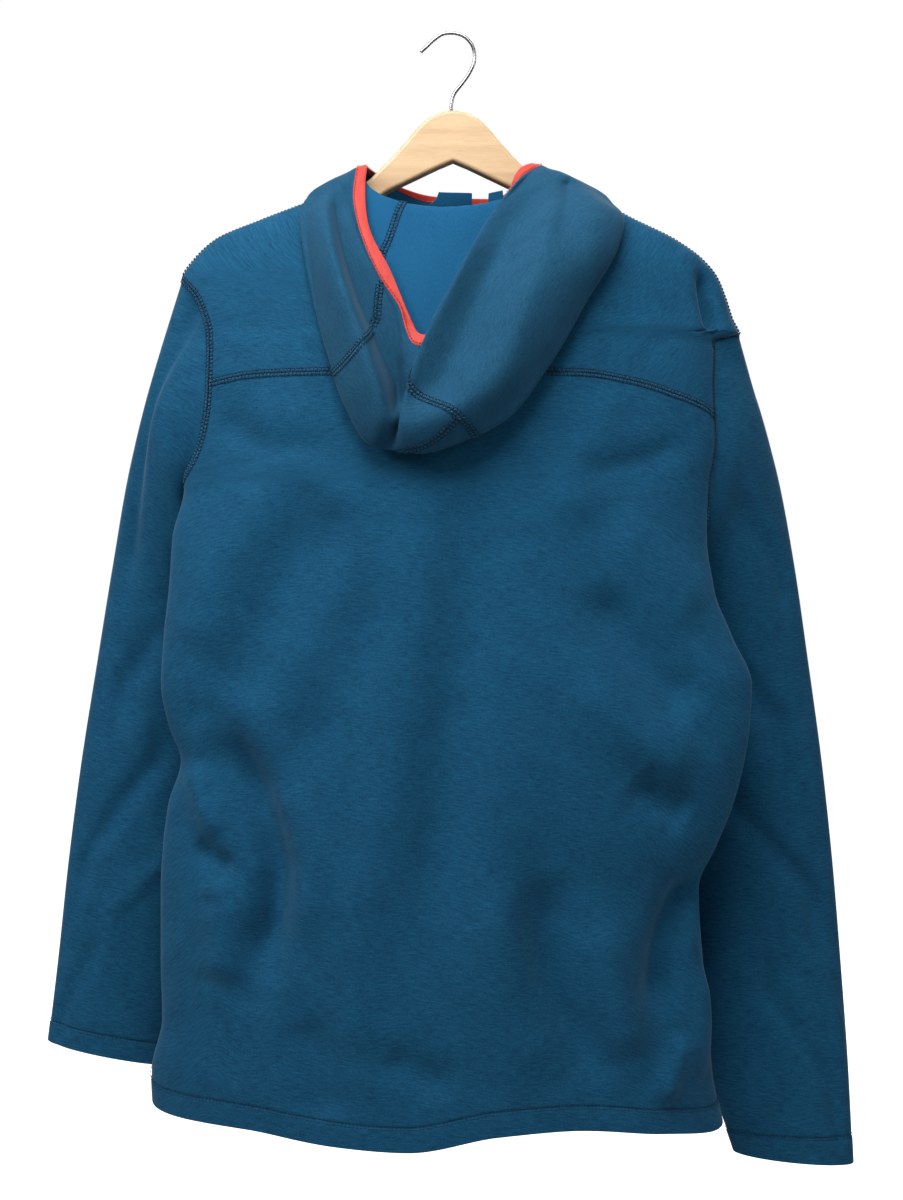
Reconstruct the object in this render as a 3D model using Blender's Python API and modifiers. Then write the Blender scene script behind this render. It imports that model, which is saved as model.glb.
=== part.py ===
"""A hooded fleece jacket on a wooden clothes hanger, at its real size.

+Z is up, +Y is the wearer's front and -X the wearer's left. The origin is the inside top of the
hanger's hook. Sizes and tables are in millimetres; a mesh is scaled to metres when it is made.
"""

import math

import bmesh
import bpy
import numpy as np
from mathutils import Matrix, Vector

MM = 0.001

# Driving sizes, in millimetres.
CLOTH = 1.8  # the body's knit fleece
HOOD_CLOTH = 1.3  # the hood's single layer
BINDING_CLOTH = 2.0  # the elastic binding, folded round the hood's edge
SEAM_GAP = 0.3  # between two pieces at a seam
HOOD_GAP = 0.7  # the same on the hood, whose seams run over sharp bends
TOP_GAP = 1.6  # round the centre strip above its cross seam
TURNED_GAP = 2.0  # and below it, where it turns under
TURN_UP = 20.0  # depth of the turned hem and cuffs
TURN_STEP = 0.7  # how far a turned hem stands out from the cloth above it
SIDE_SEAM = 100.0  # degrees round the body from the middle of the back

ZIP_TOP_Z = -206.0  # the zip's slider, at the front of the neck seam
ZIP_TOP_X = 20.0
ZIP_HEM_X = 12.0
ZIP_GAP = 9.4  # between the two fronts, with the coil in it
TAPE_CLOTH = 0.9
COIL_WIDTH = 2.6
COIL_THICK = 2.2

WIRE_RADIUS = 1.5
WOOD_THICK = 14.0
WOOD_ROUND = 3.0
WOOD_TIP_X = 212.0
ARM_DEPTH = 27.0


# ---------------------------------------------------------------- tables and curves


def smooth(table, column, key):
    """Reads one column of a table at `key` by a smooth curve that never overshoots its rows."""
    rows = np.array(sorted(table, key=lambda row: row[0]), dtype=float)
    xs = rows[:, 0]
    ys = rows[:, column]
    steps = np.diff(xs)
    slopes = np.diff(ys) / steps
    tangents = np.zeros_like(ys)
    same = slopes[:-1] * slopes[1:] > 0
    harmonic = 2.0 * slopes[:-1] * slopes[1:] / np.where(same, slopes[:-1] + slopes[1:], 1.0)
    tangents[1:-1] = np.where(same, harmonic, 0.0)
    tangents[0] = slopes[0]
    tangents[-1] = slopes[-1]
    key = np.clip(np.asarray(key, dtype=float), xs[0], xs[-1])
    i = np.clip(np.searchsorted(xs, key, side="right") - 1, 0, len(xs) - 2)
    t = (key - xs[i]) / steps[i]
    rise = ys[i] * (1 + 2 * t) * (1 - t) ** 2 + ys[i + 1] * t * t * (3 - 2 * t)
    return rise + steps[i] * (tangents[i] * t * (1 - t) ** 2 - tangents[i + 1] * t * t * (1 - t))


def tangents(points):
    """The direction of a smooth curve at each of its points, and the lengths of its steps."""
    steps = np.diff(points, axis=0)
    lengths = np.maximum(np.linalg.norm(steps, axis=-1, keepdims=True), 1e-6)
    slopes = steps / lengths
    inner = (slopes[:-1] * lengths[1:] + slopes[1:] * lengths[:-1]) / (lengths[:-1] + lengths[1:])
    return np.concatenate([slopes[:1], inner, slopes[-1:]]), lengths


def hermite(a, b, slope_a, slope_b, t):
    rise = a * (1 + 2 * t) * (1 - t) ** 2 + b * t * t * (3 - 2 * t)
    return rise + slope_a * t * (1 - t) ** 2 - slope_b * t * t * (1 - t)


def through(points, where):
    """Smooth curve through points[0], points[1], ... read at the fractional indices `where`."""
    points = np.asarray(points, dtype=float)
    slopes, lengths = tangents(points)
    where = np.clip(np.asarray(where, dtype=float), 0, len(points) - 1)
    i = np.minimum(where.astype(int), len(points) - 2)
    t = (where - i).reshape(where.shape + (1,) * (points.ndim - 1))
    return hermite(points[i], points[i + 1], slopes[i] * lengths[i], slopes[i + 1] * lengths[i], t)


def through_each(curves, where):
    """The same for a row of curves, each read at its own place."""
    points = np.moveaxis(curves, 1, 0)
    slopes, lengths = tangents(points)
    i = np.minimum(where.astype(int), len(points) - 2)
    each = np.arange(len(where))
    t = (where - i)[:, None]
    length = lengths[i, each]
    start = slopes[i, each] * length
    end = slopes[i + 1, each] * length
    return hermite(points[i, each], points[i + 1, each], start, end, t)


def mix(a, b, t):
    return a + (b - a) * t


def unit(vectors):
    return vectors / np.maximum(np.linalg.norm(vectors, axis=-1, keepdims=True), 1e-9)


def soft_step(t):
    t = np.clip(t, 0.0, 1.0)
    return t * t * (3 - 2 * t)


# ---------------------------------------------------------------- meshes and materials


def material(name, colour, roughness, metallic=0.0):
    made = bpy.data.materials.new(name)
    made.use_nodes = True
    shader = made.node_tree.nodes["Principled BSDF"]
    shader.inputs["Base Color"].default_value = (*colour, 1.0)
    shader.inputs["Roughness"].default_value = roughness
    shader.inputs["Metallic"].default_value = metallic
    return made


def add_object(name, mesh, finish):
    thing = bpy.data.objects.new(name, mesh)
    thing.data.materials.append(finish)
    bpy.data.collections["hooded_fleece_jacket"].objects.link(thing)
    return thing


def draw_in(points, normals, gap, ring=False):
    """Moves the border of a grid of points in along its surface, half a seam's gap on each side."""
    moved = points.copy()

    def draw(border, next_in):
        away = points[next_in] - points[border]
        flat = away - normals[border] * np.sum(away * normals[border], axis=-1, keepdims=True)
        moved[border] += unit(flat) * gap / 2

    draw(np.s_[0, :], np.s_[1, :])
    draw(np.s_[-1, :], np.s_[-2, :])
    if not ring:
        draw(np.s_[:, 0], np.s_[:, 1])
        draw(np.s_[:, -1], np.s_[:, -2])
    return moved


def wall(name, finish, points, normals, out, back, ring=False):
    """A closed wall round a grid of points: `out` along the normals on one side, `back` on the other.

    The grid's rows are points[i]; with ring=True the last point of each row joins the first.
    """
    out = np.broadcast_to(np.asarray(out, dtype=float), points.shape[:2])[..., None]
    back = np.broadcast_to(np.asarray(back, dtype=float), points.shape[:2])[..., None]
    outer = (points + normals * out) * MM
    inner = (points - normals * back) * MM
    rows, columns = points.shape[:2]
    shape = bmesh.new()
    verts = [[[shape.verts.new(p) for p in row] for row in grid] for grid in (outer, inner)]
    across = columns if ring else columns - 1

    def quad(a, b, c, d):
        shape.faces.new((a, b, c, d))

    for i in range(rows - 1):
        for j in range(across):
            k = (j + 1) % columns
            quad(verts[0][i][j], verts[0][i][k], verts[0][i + 1][k], verts[0][i + 1][j])
            quad(verts[1][i][j], verts[1][i + 1][j], verts[1][i + 1][k], verts[1][i][k])
    for j in range(across):
        k = (j + 1) % columns
        quad(verts[0][0][k], verts[0][0][j], verts[1][0][j], verts[1][0][k])
        quad(verts[0][-1][j], verts[0][-1][k], verts[1][-1][k], verts[1][-1][j])
    if not ring:
        for i in range(rows - 1):
            quad(verts[0][i][0], verts[0][i + 1][0], verts[1][i + 1][0], verts[1][i][0])
            quad(verts[0][i + 1][-1], verts[0][i][-1], verts[1][i][-1], verts[1][i + 1][-1])
    bmesh.ops.recalc_face_normals(shape, faces=shape.faces)
    mesh = bpy.data.meshes.new(name)
    shape.to_mesh(mesh)
    shape.free()
    mesh.shade_smooth()
    mesh.set_sharp_from_angle(angle=math.radians(40))
    return add_object(name, mesh, finish)


# ---------------------------------------------------------------- the body's form

# One row for each level section of the body: its height, the places of its left and right edges,
# how far its middle stands out behind and in front, and how round each of these two sides is
# (1 is an ellipse, less is blunter, 2 is a lens).
# z, left_x, left_y, right_x, right_y, back_y, front_y, back_round, front_round
BODY = [
    (-128, -84, 0, 84, 0, -13, 14, 0.55, 0.6),
    (-137, -103, 0, 103, 0, -17, 22, 0.55, 0.65),
    (-147, -130, 0, 130, 0, -22, 34, 0.6, 0.7),
    (-160, -164, 0, 156, 0, -28, 46, 0.65, 0.75),
    (-177, -203, -1, 190, -1, -36, 56, 0.7, 0.85),
    (-195, -222, -3, 215, 0, -44, 64, 0.8, 1.0),
    (-209, -231, -5, 227, 3, -49, 68, 0.9, 1.2),
    (-227, -234, -7, 235, 6, -54, 72, 0.95, 1.4),
    (-244, -234, -9, 241, 8, -58, 75, 1.0, 1.5),
    (-257, -234, -10, 247, 9, -61, 78, 1.05, 1.6),
    (-269, -234, -11, 224, -9, -63, 79, 1.1, 1.7),
    (-303, -233, -12, 221, -16, -68, 84, 1.15, 1.8),
    (-350, -230, -13, 223, -17, -73, 88, 1.2, 1.9),
    (-391, -229, -15, 217, -19, -76, 90, 1.2, 2.0),
    (-433, -238, -20, 215, -22, -78, 92, 1.2, 2.0),
    (-474, -240, -25, 219, -28, -80, 92, 1.2, 2.0),
    (-517, -244, -28, 235, -32, -81, 92, 1.2, 2.0),
    (-557, -246, -30, 251, -35, -82, 92, 1.2, 2.0),
    (-594, -239, -29, 249, -35, -82, 92, 1.2, 2.0),
    (-621, -230, -25, 245, -34, -82, 92, 1.2, 2.0),
    (-658, -241, -22, 236, -31, -82, 92, 1.2, 2.0),
    (-694, -246, -20, 222, -28, -82, 92, 1.2, 2.0),
    (-729, -248, -20, 208, -24, -82, 92, 1.2, 2.0),
    (-790, -248, -20, 212, -18, -83, 92, 1.2, 2.0),
    (-840, -247, -18, 217, -15, -84, 93, 1.2, 2.0),
    (-886, -257, -12, 221, -11, -85, 94, 1.2, 2.0),
    (-940, -254, -12, 232, -8, -86, 95, 1.2, 2.0),
]

# The armholes, from the shoulder's tip down to the underarm, as degrees round the body from the
# middle of the back, on its back and its front. Under the last row both run on as the side seam.
# z, back_angle, front_angle
ARMHOLE_LEFT = [
    (-209, 90, 90),
    (-216, 78, 101),
    (-226, 69, 108),
    (-246, 63.5, 116),
    (-274, 60.5, 121),
    (-308, 61.5, 122),
    (-346, 66, 119),
    (-367, 72, 114),
    (-381, 83, 108),
    (-391, 100, 100),
]
ARMHOLE_RIGHT = [
    (-257, 90, 90),
    (-260, 79, 97),
    (-264, 80, 102),
    (-271, 86, 107),
    (-290, 88, 115),
    (-330, 88, 122),
    (-370, 88, 123),
    (-400, 90, 118),
    (-418, 94, 110),
    (-427, 100, 100),
]

# The lower edge behind, by place across the back: 0 at the left side seam, 1 at the right one.
# across, z
HEM_BACK = [
    (0.0, -893),
    (0.05, -912),
    (0.15, -918),
    (0.3, -922),
    (0.4, -932),
    (0.47, -935),
    (0.56, -923),
    (0.63, -920),
    (0.75, -929),
    (0.87, -935),
    (0.94, -932),
    (1.0, -915),
]
HEM_FRONT_DROP = 6.0  # the front hangs this much lower at the zip than at its side seams

# The cross seam of the back, by place across it. across, z
YOKE_SEAM = [
    (0.0, -304), (0.12, -298), (0.3, -297), (0.6, -298),
    (0.7, -304), (0.8, -314), (0.93, -325), (1.0, -331),
]

# The folds of the back: three places on the line of each one, how wide it is to each side of the
# line, how far it stands out there (or lies in, below zero), and which part of it fades out.
# x0, z0, x1, z1, x2, z2, width, depth
BACK_FOLDS = [
    (4, -370, -8, -560, -40, -860, 42, -6),  # long valley down the middle
    (-106, -395, -160, -520, -196, -610, 34, -6),  # left shoulder blade to waist
    (-60, -450, -96, -580, -132, -640, 36, -4),
    (-205, -600, -192, -660, -150, -716, 15, -13),  # crescent at the left hip
    (-150, -716, -150, -760, -176, -808, 17, -12),
    (-216, -640, -196, -694, -168, -716, 15, 8),  # the roll above the crescent
    (-222, -704, -206, -720, -186, -728, 12, -7),  # pinch
    (112, -478, 156, -532, 205, -584, 22, -7),  # right waist
    (150, -640, 172, -664, 200, -676, 18, -5),
    (76, -715, 92, -810, 134, -890, 26, -9),  # long valley at the right hem
    (206, -728, 180, -770, 170, -842, 18, -13),
    (186, -856, 172, -880, 160, -912, 14, 6),
    (-54, -868, -28, -876, 2, -880, 16, -4),
    (40, -430, 60, -620, 66, -760, 44, 4),
    (-150, -300, -120, -380, -70, -420, 30, 3),
    (214, -202, 217, -232, 224, -264, 8, -13),  # groove beside the right shoulder cap
]
# The folds of the front, which the photo doesn't show: soft ones like those of the back.
FRONT_FOLDS = [
    (-70, -300, -110, -480, -150, -640, 34, -6),
    (-60, -640, -90, -760, -120, -900, 32, -7),
    (-200, -600, -160, -680, -120, -730, 20, -7),
    (80, -320, 120, -500, 160, -620, 34, -6),
    (70, -660, 110, -780, 130, -900, 30, -8),
    (190, -620, 150, -700, 110, -740, 20, -7),
    (30, -420, 40, -600, 36, -820, 30, 4),
]


def fold_height(folds, x, z):
    """How far all the folds lift the cloth at (x, z): a bell across each line, fading at its ends."""
    total = np.zeros(np.broadcast(x, z).shape)
    for x0, z0, x1, z1, x2, z2, width, depth in folds:
        nearest = np.full(total.shape, 1e9)
        along = np.zeros(total.shape)
        line = through([(x0, z0), (x1, z1), (x2, z2)], np.linspace(0, 2, 9))
        for k, (start, end) in enumerate(zip(line[:-1], line[1:])):
            run = end - start
            t = np.clip(((x - start[0]) * run[0] + (z - start[1]) * run[1]) / (run @ run), 0, 1)
            far = np.hypot(x - start[0] - t * run[0], z - start[1] - t * run[1])
            closer = far < nearest
            nearest = np.where(closer, far, nearest)
            along = np.where(closer, (k + t) / (len(line) - 1), along)
        fade = soft_step(along / 0.25) * soft_step((1 - along) / 0.25) * 0.8 + 0.2
        total += depth * fade * np.exp(-((nearest / width) ** 2) * 1.4)
    return total


def body_base(angle, z):
    """A point of the body's outer surface before its folds; angle 0 is the middle of the back."""
    left_x, left_y, right_x, right_y, back_y, front_y, back_round, front_round = (
        smooth(BODY, column, z) for column in range(1, 9)
    )
    turn = np.radians(angle)
    side = np.sin(turn)
    ahead = np.cos(turn)
    edge_y = mix(left_y, right_y, (1 + side) / 2)
    behind = (back_y - edge_y) * np.abs(ahead) ** back_round
    before = (front_y - edge_y) * np.abs(ahead) ** front_round
    x = mix(left_x, right_x, (1 + side) / 2)
    return np.stack([x, edge_y + np.where(ahead >= 0, behind, before), z + 0 * x], axis=-1)


def surface_normals(surface, u, v, step_u, step_v):
    along_u = surface(u + step_u, v) - surface(u - step_u, v)
    along_v = surface(u, v + step_v) - surface(u, v - step_v)
    return unit(np.cross(along_u, along_v))


def body(angle, z):
    """A point of the body's outer surface, folds and all."""
    angle, z = np.broadcast_arrays(np.asarray(angle, dtype=float), np.asarray(z, dtype=float))
    base = body_base(angle, z)
    normal = surface_normals(body_base, angle, z, 0.8, 1.0)
    ahead = np.cos(np.radians(angle))
    lift = fold_height(BACK_FOLDS, base[..., 0], z) * soft_step((ahead + 0.02) / 0.2)
    lift = lift + fold_height(FRONT_FOLDS, base[..., 0], z) * soft_step((-ahead - 0.1) / 0.25)
    return base + normal * lift[..., None]


def body_normals(angle, z):
    return surface_normals(body, angle, z, 2.5, 1.0)


NECK_SIDE_Z = -128.0
NECK_BACK_Z = -172.0
NECK_FRONT_Z = -206.0
NECK_BACK_SHAPE = 2.6
NECK_FRONT_SHAPE = 4.9


def neck_z(angle):
    """The neckline's height, by degrees round the body."""
    side = np.sin(np.radians(angle)) ** 2
    behind = np.cos(np.radians(angle)) >= 0
    low = np.where(behind, NECK_BACK_Z, NECK_FRONT_Z)
    shape = np.where(behind, NECK_BACK_SHAPE, NECK_FRONT_SHAPE)
    return mix(low, NECK_SIDE_Z, shape * side / (1 + (shape - 1) * side))


def back_at(x, z):
    """The y of the back at (x, z), and how far below the neckline that is: 0 where no cloth is."""
    left = smooth(BODY, 1, z)
    right = smooth(BODY, 3, z)
    side = (2 * x - left - right) / (right - left)
    angle = np.degrees(np.arcsin(np.clip(side, -0.995, 0.995)))
    below = np.where(np.abs(side) < 0.995, neck_z(angle) - z, 0.0)
    return body(angle, z)[..., 1], np.maximum(below, 0.0)


def arm_angle(table, column, z):
    """The armhole's place round the body at a height: shoulder line above it, side seam below."""
    inside = smooth(table, column, z)
    return np.where(z > table[0][0], 90.0, np.where(z < table[-1][0], SIDE_SEAM, inside))


def zip_x(z):
    return mix(ZIP_TOP_X, ZIP_HEM_X, np.clip((ZIP_TOP_Z - z) / 700, 0, 1))


def front_angle(x, z, sign):
    """The angle of a place x on the front, counted from the left (sign -1) or the right (+1)."""
    left = smooth(BODY, 1, z)
    right = smooth(BODY, 3, z)
    side = (2 * x - left - right) / (right - left)
    return sign * 180 - np.degrees(np.arcsin(side))


def hem_front(across):
    """The front's lower edge: 0 at the left side seam, 0.5 at the zip, 1 at the right side seam."""
    ends = mix(HEM_BACK[0][1], HEM_BACK[-1][1], across)
    middle = 1 - np.abs(2 * across - 1)
    return ends - 14 * soft_step(middle * 5) - HEM_FRONT_DROP * middle


# ---------------------------------------------------------------- body panels


# How the rows of the panels are spaced between level lines that all panels share, so that their
# edges meet point for point: from the neck down to the armholes' tips, to the cross seam, to the
# underarms and to the hem.
NECK_TO_TIP = (0.1, 0.22, 0.36, 0.52, 0.68, 0.84, 1.0)
TIP_TO_SEAM = (0.045, 0.1, 0.19, 0.4, 0.68, 1.0)
SEAM_TO_UNDERARM = (0.28, 0.52, 0.72, 0.88, 1.0)
UNDERARM_TO_HEM = tuple((k + 1) / 15 for k in range(15))
BAND = (0.97, 0.5, 0.0)
# The columns of the back, from its left side to its right one, and of a front, from the zip.
BACK_COLUMNS = (0.0, 0.012) + tuple(0.04 + 0.92 * k / 22 for k in range(23)) + (0.988, 1.0)
FRONT_COLUMNS = (0.0, 0.045, 0.15, 0.28, 0.41, 0.54, 0.67, 0.8, 0.92, 1.0)
ZIP_LEVELS = (-262, -335, -409)  # where the same level lines pass the zip


def panel_grid(levels, spacings, left, right, s, hem):
    """Where one panel of the body has its points: angles, heights and how far each row is out.

    Each level(s) is a line across it, from the top one down, with rows between them as spaced;
    left(z) and right(z) are the angles of its side edges. hem(s) is its lower edge, or None: a
    hem ends in a turned band that stands out a little.
    """
    rows = [levels[0](s)]
    for upper, lower, spacing in zip(levels[:-1], levels[1:], spacings):
        rows += [mix(upper(s), lower(s), part) for part in spacing]
    out = [0.0] * len(rows)
    if hem:
        rows += [hem(s) + TURN_UP * part for part in BAND]
        out += [TURN_STEP] * len(BAND)
    z = np.array(rows)
    return mix(left(z), right(z), s[None, :]), z, np.array(out)[:, None]


def panel(name, finish, angle, z, out):
    normals = body_normals(angle, z)
    wall(name, finish, draw_in(body(angle, z), normals, SEAM_GAP), normals, out, CLOTH)


def level_across(index):
    """A level line from the left armhole's row `index` to the right one's."""
    left = (ARMHOLE_LEFT[0][0], YOKE_SEAM[0][1], ARMHOLE_LEFT[-1][0])[index]
    right = (ARMHOLE_RIGHT[0][0], YOKE_SEAM[-1][1], ARMHOLE_RIGHT[-1][0])[index]
    return left, right


def make_back(finish):
    def left(z):
        return -arm_angle(ARMHOLE_LEFT, 1, z)

    def right(z):
        return arm_angle(ARMHOLE_RIGHT, 1, z)

    def neck(s):
        return neck_z(mix(-90, 90, s))

    def tips(s):
        return mix(*level_across(0), s)

    def cross_seam(s):
        return smooth(YOKE_SEAM, 1, s)

    def underarms(s):
        return mix(*level_across(2), s)

    def hem(s):
        return smooth(HEM_BACK, 1, s)

    def hem_line(s):
        return hem(s) + TURN_UP + 0.5

    s = np.array(BACK_COLUMNS)
    yoke = panel_grid((neck, tips, cross_seam), (NECK_TO_TIP, TIP_TO_SEAM), left, right, s, None)
    panel("back_yoke", finish, *yoke)
    levels = (cross_seam, underarms, hem_line)
    lower = panel_grid(levels, (SEAM_TO_UNDERARM, UNDERARM_TO_HEM), left, right, s, hem)
    panel("back_lower", finish, *lower)


def front_grid(sign):
    """The points of a front panel; sign -1 is the wearer's left one."""
    armhole = ARMHOLE_LEFT if sign < 0 else ARMHOLE_RIGHT

    def side(z):
        return sign * arm_angle(armhole, 2, z)

    def centre(z):
        z = np.minimum(z, ZIP_TOP_Z)
        return front_angle(zip_x(z) + sign * ZIP_GAP / 2, z, sign)

    def from_zip(s):
        """0 at the zip and 1 at the side, whichever way the panel runs."""
        return s if sign < 0 else 1 - s

    def neck(s):
        return neck_z(mix(centre(np.array(ZIP_TOP_Z)), sign * 90, from_zip(s)))

    def level(index):
        ends = level_across(index)
        return lambda s: mix(ZIP_LEVELS[index], ends[0 if sign < 0 else 1], from_zip(s))

    def hem(s):
        return hem_front(0.5 + sign * 0.5 * from_zip(s))

    def hem_line(s):
        return hem(s) + TURN_UP + 0.5

    levels = (neck, level(0), level(1), level(2), hem_line)
    spacings = (NECK_TO_TIP, TIP_TO_SEAM, SEAM_TO_UNDERARM, UNDERARM_TO_HEM)
    s = np.array(FRONT_COLUMNS)
    if sign < 0:
        return panel_grid(levels, spacings, centre, side, s, hem)
    return panel_grid(levels, spacings, side, centre, 1 - s[::-1], hem)


def make_front(name, finish, sign):
    panel(name, finish, *front_grid(sign))


# ---------------------------------------------------------------- sleeves

# A sleeve's sections below the armhole: the outer and the inner end of each one and its half depth.
# outer_x, outer_y, outer_z, inner_x, inner_y, inner_z, half_depth
SLEEVE_LEFT = [
    (-262, 10, -302, -227, 10, -404, 34),
    (-283, 26, -374, -212, 30, -448, 33),
    (-300, 40, -455, -198, 50, -502, 29),
    (-315, 46, -540, -190, 56, -576, 27),
    (-329, 46, -628, -200, 58, -656, 26),
    (-340, 44, -716, -212, 56, -738, 25),
    (-349, 42, -804, -228, 52, -824, 23),
    (-357, 40, -874, -247, 46, -897, 21),
]
SLEEVE_RIGHT = [
    (262, 20, -304, 213, 16, -442, 30),
    (285, 34, -376, 208, 38, -470, 31),
    (301, 42, -452, 198, 50, -516, 29),
    (315, 48, -540, 192, 58, -584, 27),
    (327, 48, -628, 200, 60, -662, 26),
    (336, 46, -716, 212, 58, -744, 25),
    (343, 44, -806, 218, 54, -828, 23),
    (349, 42, -894, 227, 50, -904, 22),
    (353, 40, -982, 249, 46, -974, 21),
]
# Creases of a sleeve, as lines from one place to another: turn is 0 at its outer edge, a quarter at
# the middle of its back, a half at its inner edge; down is 0 at the armhole and 1 at the cuff.
# turn0, down0, turn1, down1, width, depth
CREASES_LEFT = [
    (0.10, 0.02, 0.13, 0.34, 0.035, -5),
    (0.30, 0.36, 0.16, 0.52, 0.04, -3),
    (0.84, 0.30, 0.70, 0.44, 0.04, -4),
    (0.80, 0.62, 0.66, 0.72, 0.04, -4),
    (0.22, 0.66, 0.12, 0.78, 0.04, -3),
]
CREASES_RIGHT = [
    (0.22, 0.30, 0.10, 0.42, 0.04, -3),
    (0.26, 0.55, 0.12, 0.66, 0.04, -4),
    (0.86, 0.34, 0.70, 0.46, 0.04, -4),
    (0.80, 0.60, 0.66, 0.74, 0.04, -4),
    (0.20, 0.86, 0.10, 0.93, 0.03, -4),
]
SLEEVE_ROWS = 18
ARMHOLE_GAP = 0.85  # from the armhole's line to the sleeve's first row


def armhole_ring(armhole, seam_z, sign):
    """The armhole's closed line and the body's normals there, down its back and up its front."""
    tip = armhole[0][0]
    low = armhole[-1][0]
    z = [tip] + [mix(tip, seam_z, part) for part in TIP_TO_SEAM]
    z = np.array(z + [mix(seam_z, low, part) for part in SEAM_TO_UNDERARM])
    angle = sign * np.concatenate([smooth(armhole, 1, z), smooth(armhole, 2, z)[-2:0:-1]])
    z = np.concatenate([z, z[-2:0:-1]])
    return body(angle, z), body_normals(angle, z)


def sleeve_section(row, turn):
    outer = np.array(row[0:3], dtype=float)
    inner = np.array(row[3:6], dtype=float)
    point = mix(inner[None], outer[None], (1 + np.cos(turn))[:, None] / 2)
    point[:, 1] -= row[6] * np.sin(turn)
    return point


def clear_of_body(points, under, margin):
    """Moves points below the underarm that lie in the body, or near it, out towards the front."""
    x, y, z = points[..., 0], points[..., 1], points[..., 2]
    left = smooth(BODY, 1, z) - margin
    right = smooth(BODY, 3, z) + margin
    side = np.clip((2 * x - left - right) / (right - left), -1, 1)
    angle = np.degrees(np.arcsin(side))
    front = body(180 - angle, z)[..., 1] + margin
    back = body(angle, z)[..., 1] - margin
    inside = (np.abs(side) < 1) & (y > back) & (y < front) & (z < under)
    moved = points.copy()
    moved[..., 1] = np.where(inside, front, y)
    return moved


def ring_turns(ring):
    """How far round the sleeve each point of its armhole ring is, in radians, by length."""
    half = len(ring) // 2
    lengths = np.linalg.norm(np.roll(ring, -1, axis=0) - ring, axis=1)
    halves = [np.cumsum(part) / np.sum(part) for part in (lengths[:half], lengths[half:])]
    by_length = math.pi * np.concatenate([[0], halves[0], 1 + halves[1][:-1]])
    evenly = np.linspace(0, 2 * math.pi, len(ring), endpoint=False)
    return mix(by_length, evenly, 0.5)


def sleeve_points(sections, creases, armhole, seam_z, sign):
    """The sleeve's grid of points and normals, its first row on the armhole."""
    ring, ring_normals = armhole_ring(armhole, seam_z, sign)
    turn = ring_turns(ring)
    stations = np.stack([ring] + [sleeve_section(row, turn) for row in sections])
    down = np.linspace(0, 1, SLEEVE_ROWS)
    band = TURN_UP / 640
    down = np.concatenate([down[down < 1 - 1.5 * band], [1 - band * 1.03, 1 - band, 1 - band / 2, 1]])
    points = through(stations, down * (len(stations) - 1))
    points[1:] = clear_of_body(points[1:], armhole[-1][0] - 3, 4.5)

    def normals_of(grid):
        round_it = np.roll(grid, -1, axis=1) - np.roll(grid, 1, axis=1)
        along = np.gradient(grid, axis=0)
        return unit(np.cross(round_it, along)) * sign

    normals = normals_of(points)
    for turn0, down0, turn1, down1, width, depth in creases:
        t = np.clip((down[:, None] - down0) / (down1 - down0), 0, 1)
        across = (turn / (2 * math.pi))[None, :] - mix(turn0, turn1, t)
        end = np.abs(down[:, None] - mix(down0, down1, t)) / 0.05
        points = points + normals * (depth * np.exp(-((across / width) ** 2) - end**2))[..., None]
    normals = normals_of(points)
    seam_line = np.roll(ring, -1, axis=0) - np.roll(ring, 1, axis=0)
    away = unit(np.cross(ring_normals, seam_line)) * sign
    normals[0] = unit(ring_normals * 0.8 + normals[1])
    toward = np.maximum(np.sum(normals[0] * away, axis=-1, keepdims=True), 0)
    normals[0] = unit(normals[0] - away * toward)
    points[0] += away * ARMHOLE_GAP
    return points, normals, down > 1 - band * 1.01


def make_sleeve(name, finish, sections, creases, armhole, seam_z, sign):
    points, normals, turned = sleeve_points(sections, creases, armhole, seam_z, sign)
    out = np.where(turned, TURN_STEP, 0.0)[:, None]
    wall(name, finish, points, normals, out, CLOTH, ring=True)


# ---------------------------------------------------------------- hood

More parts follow.
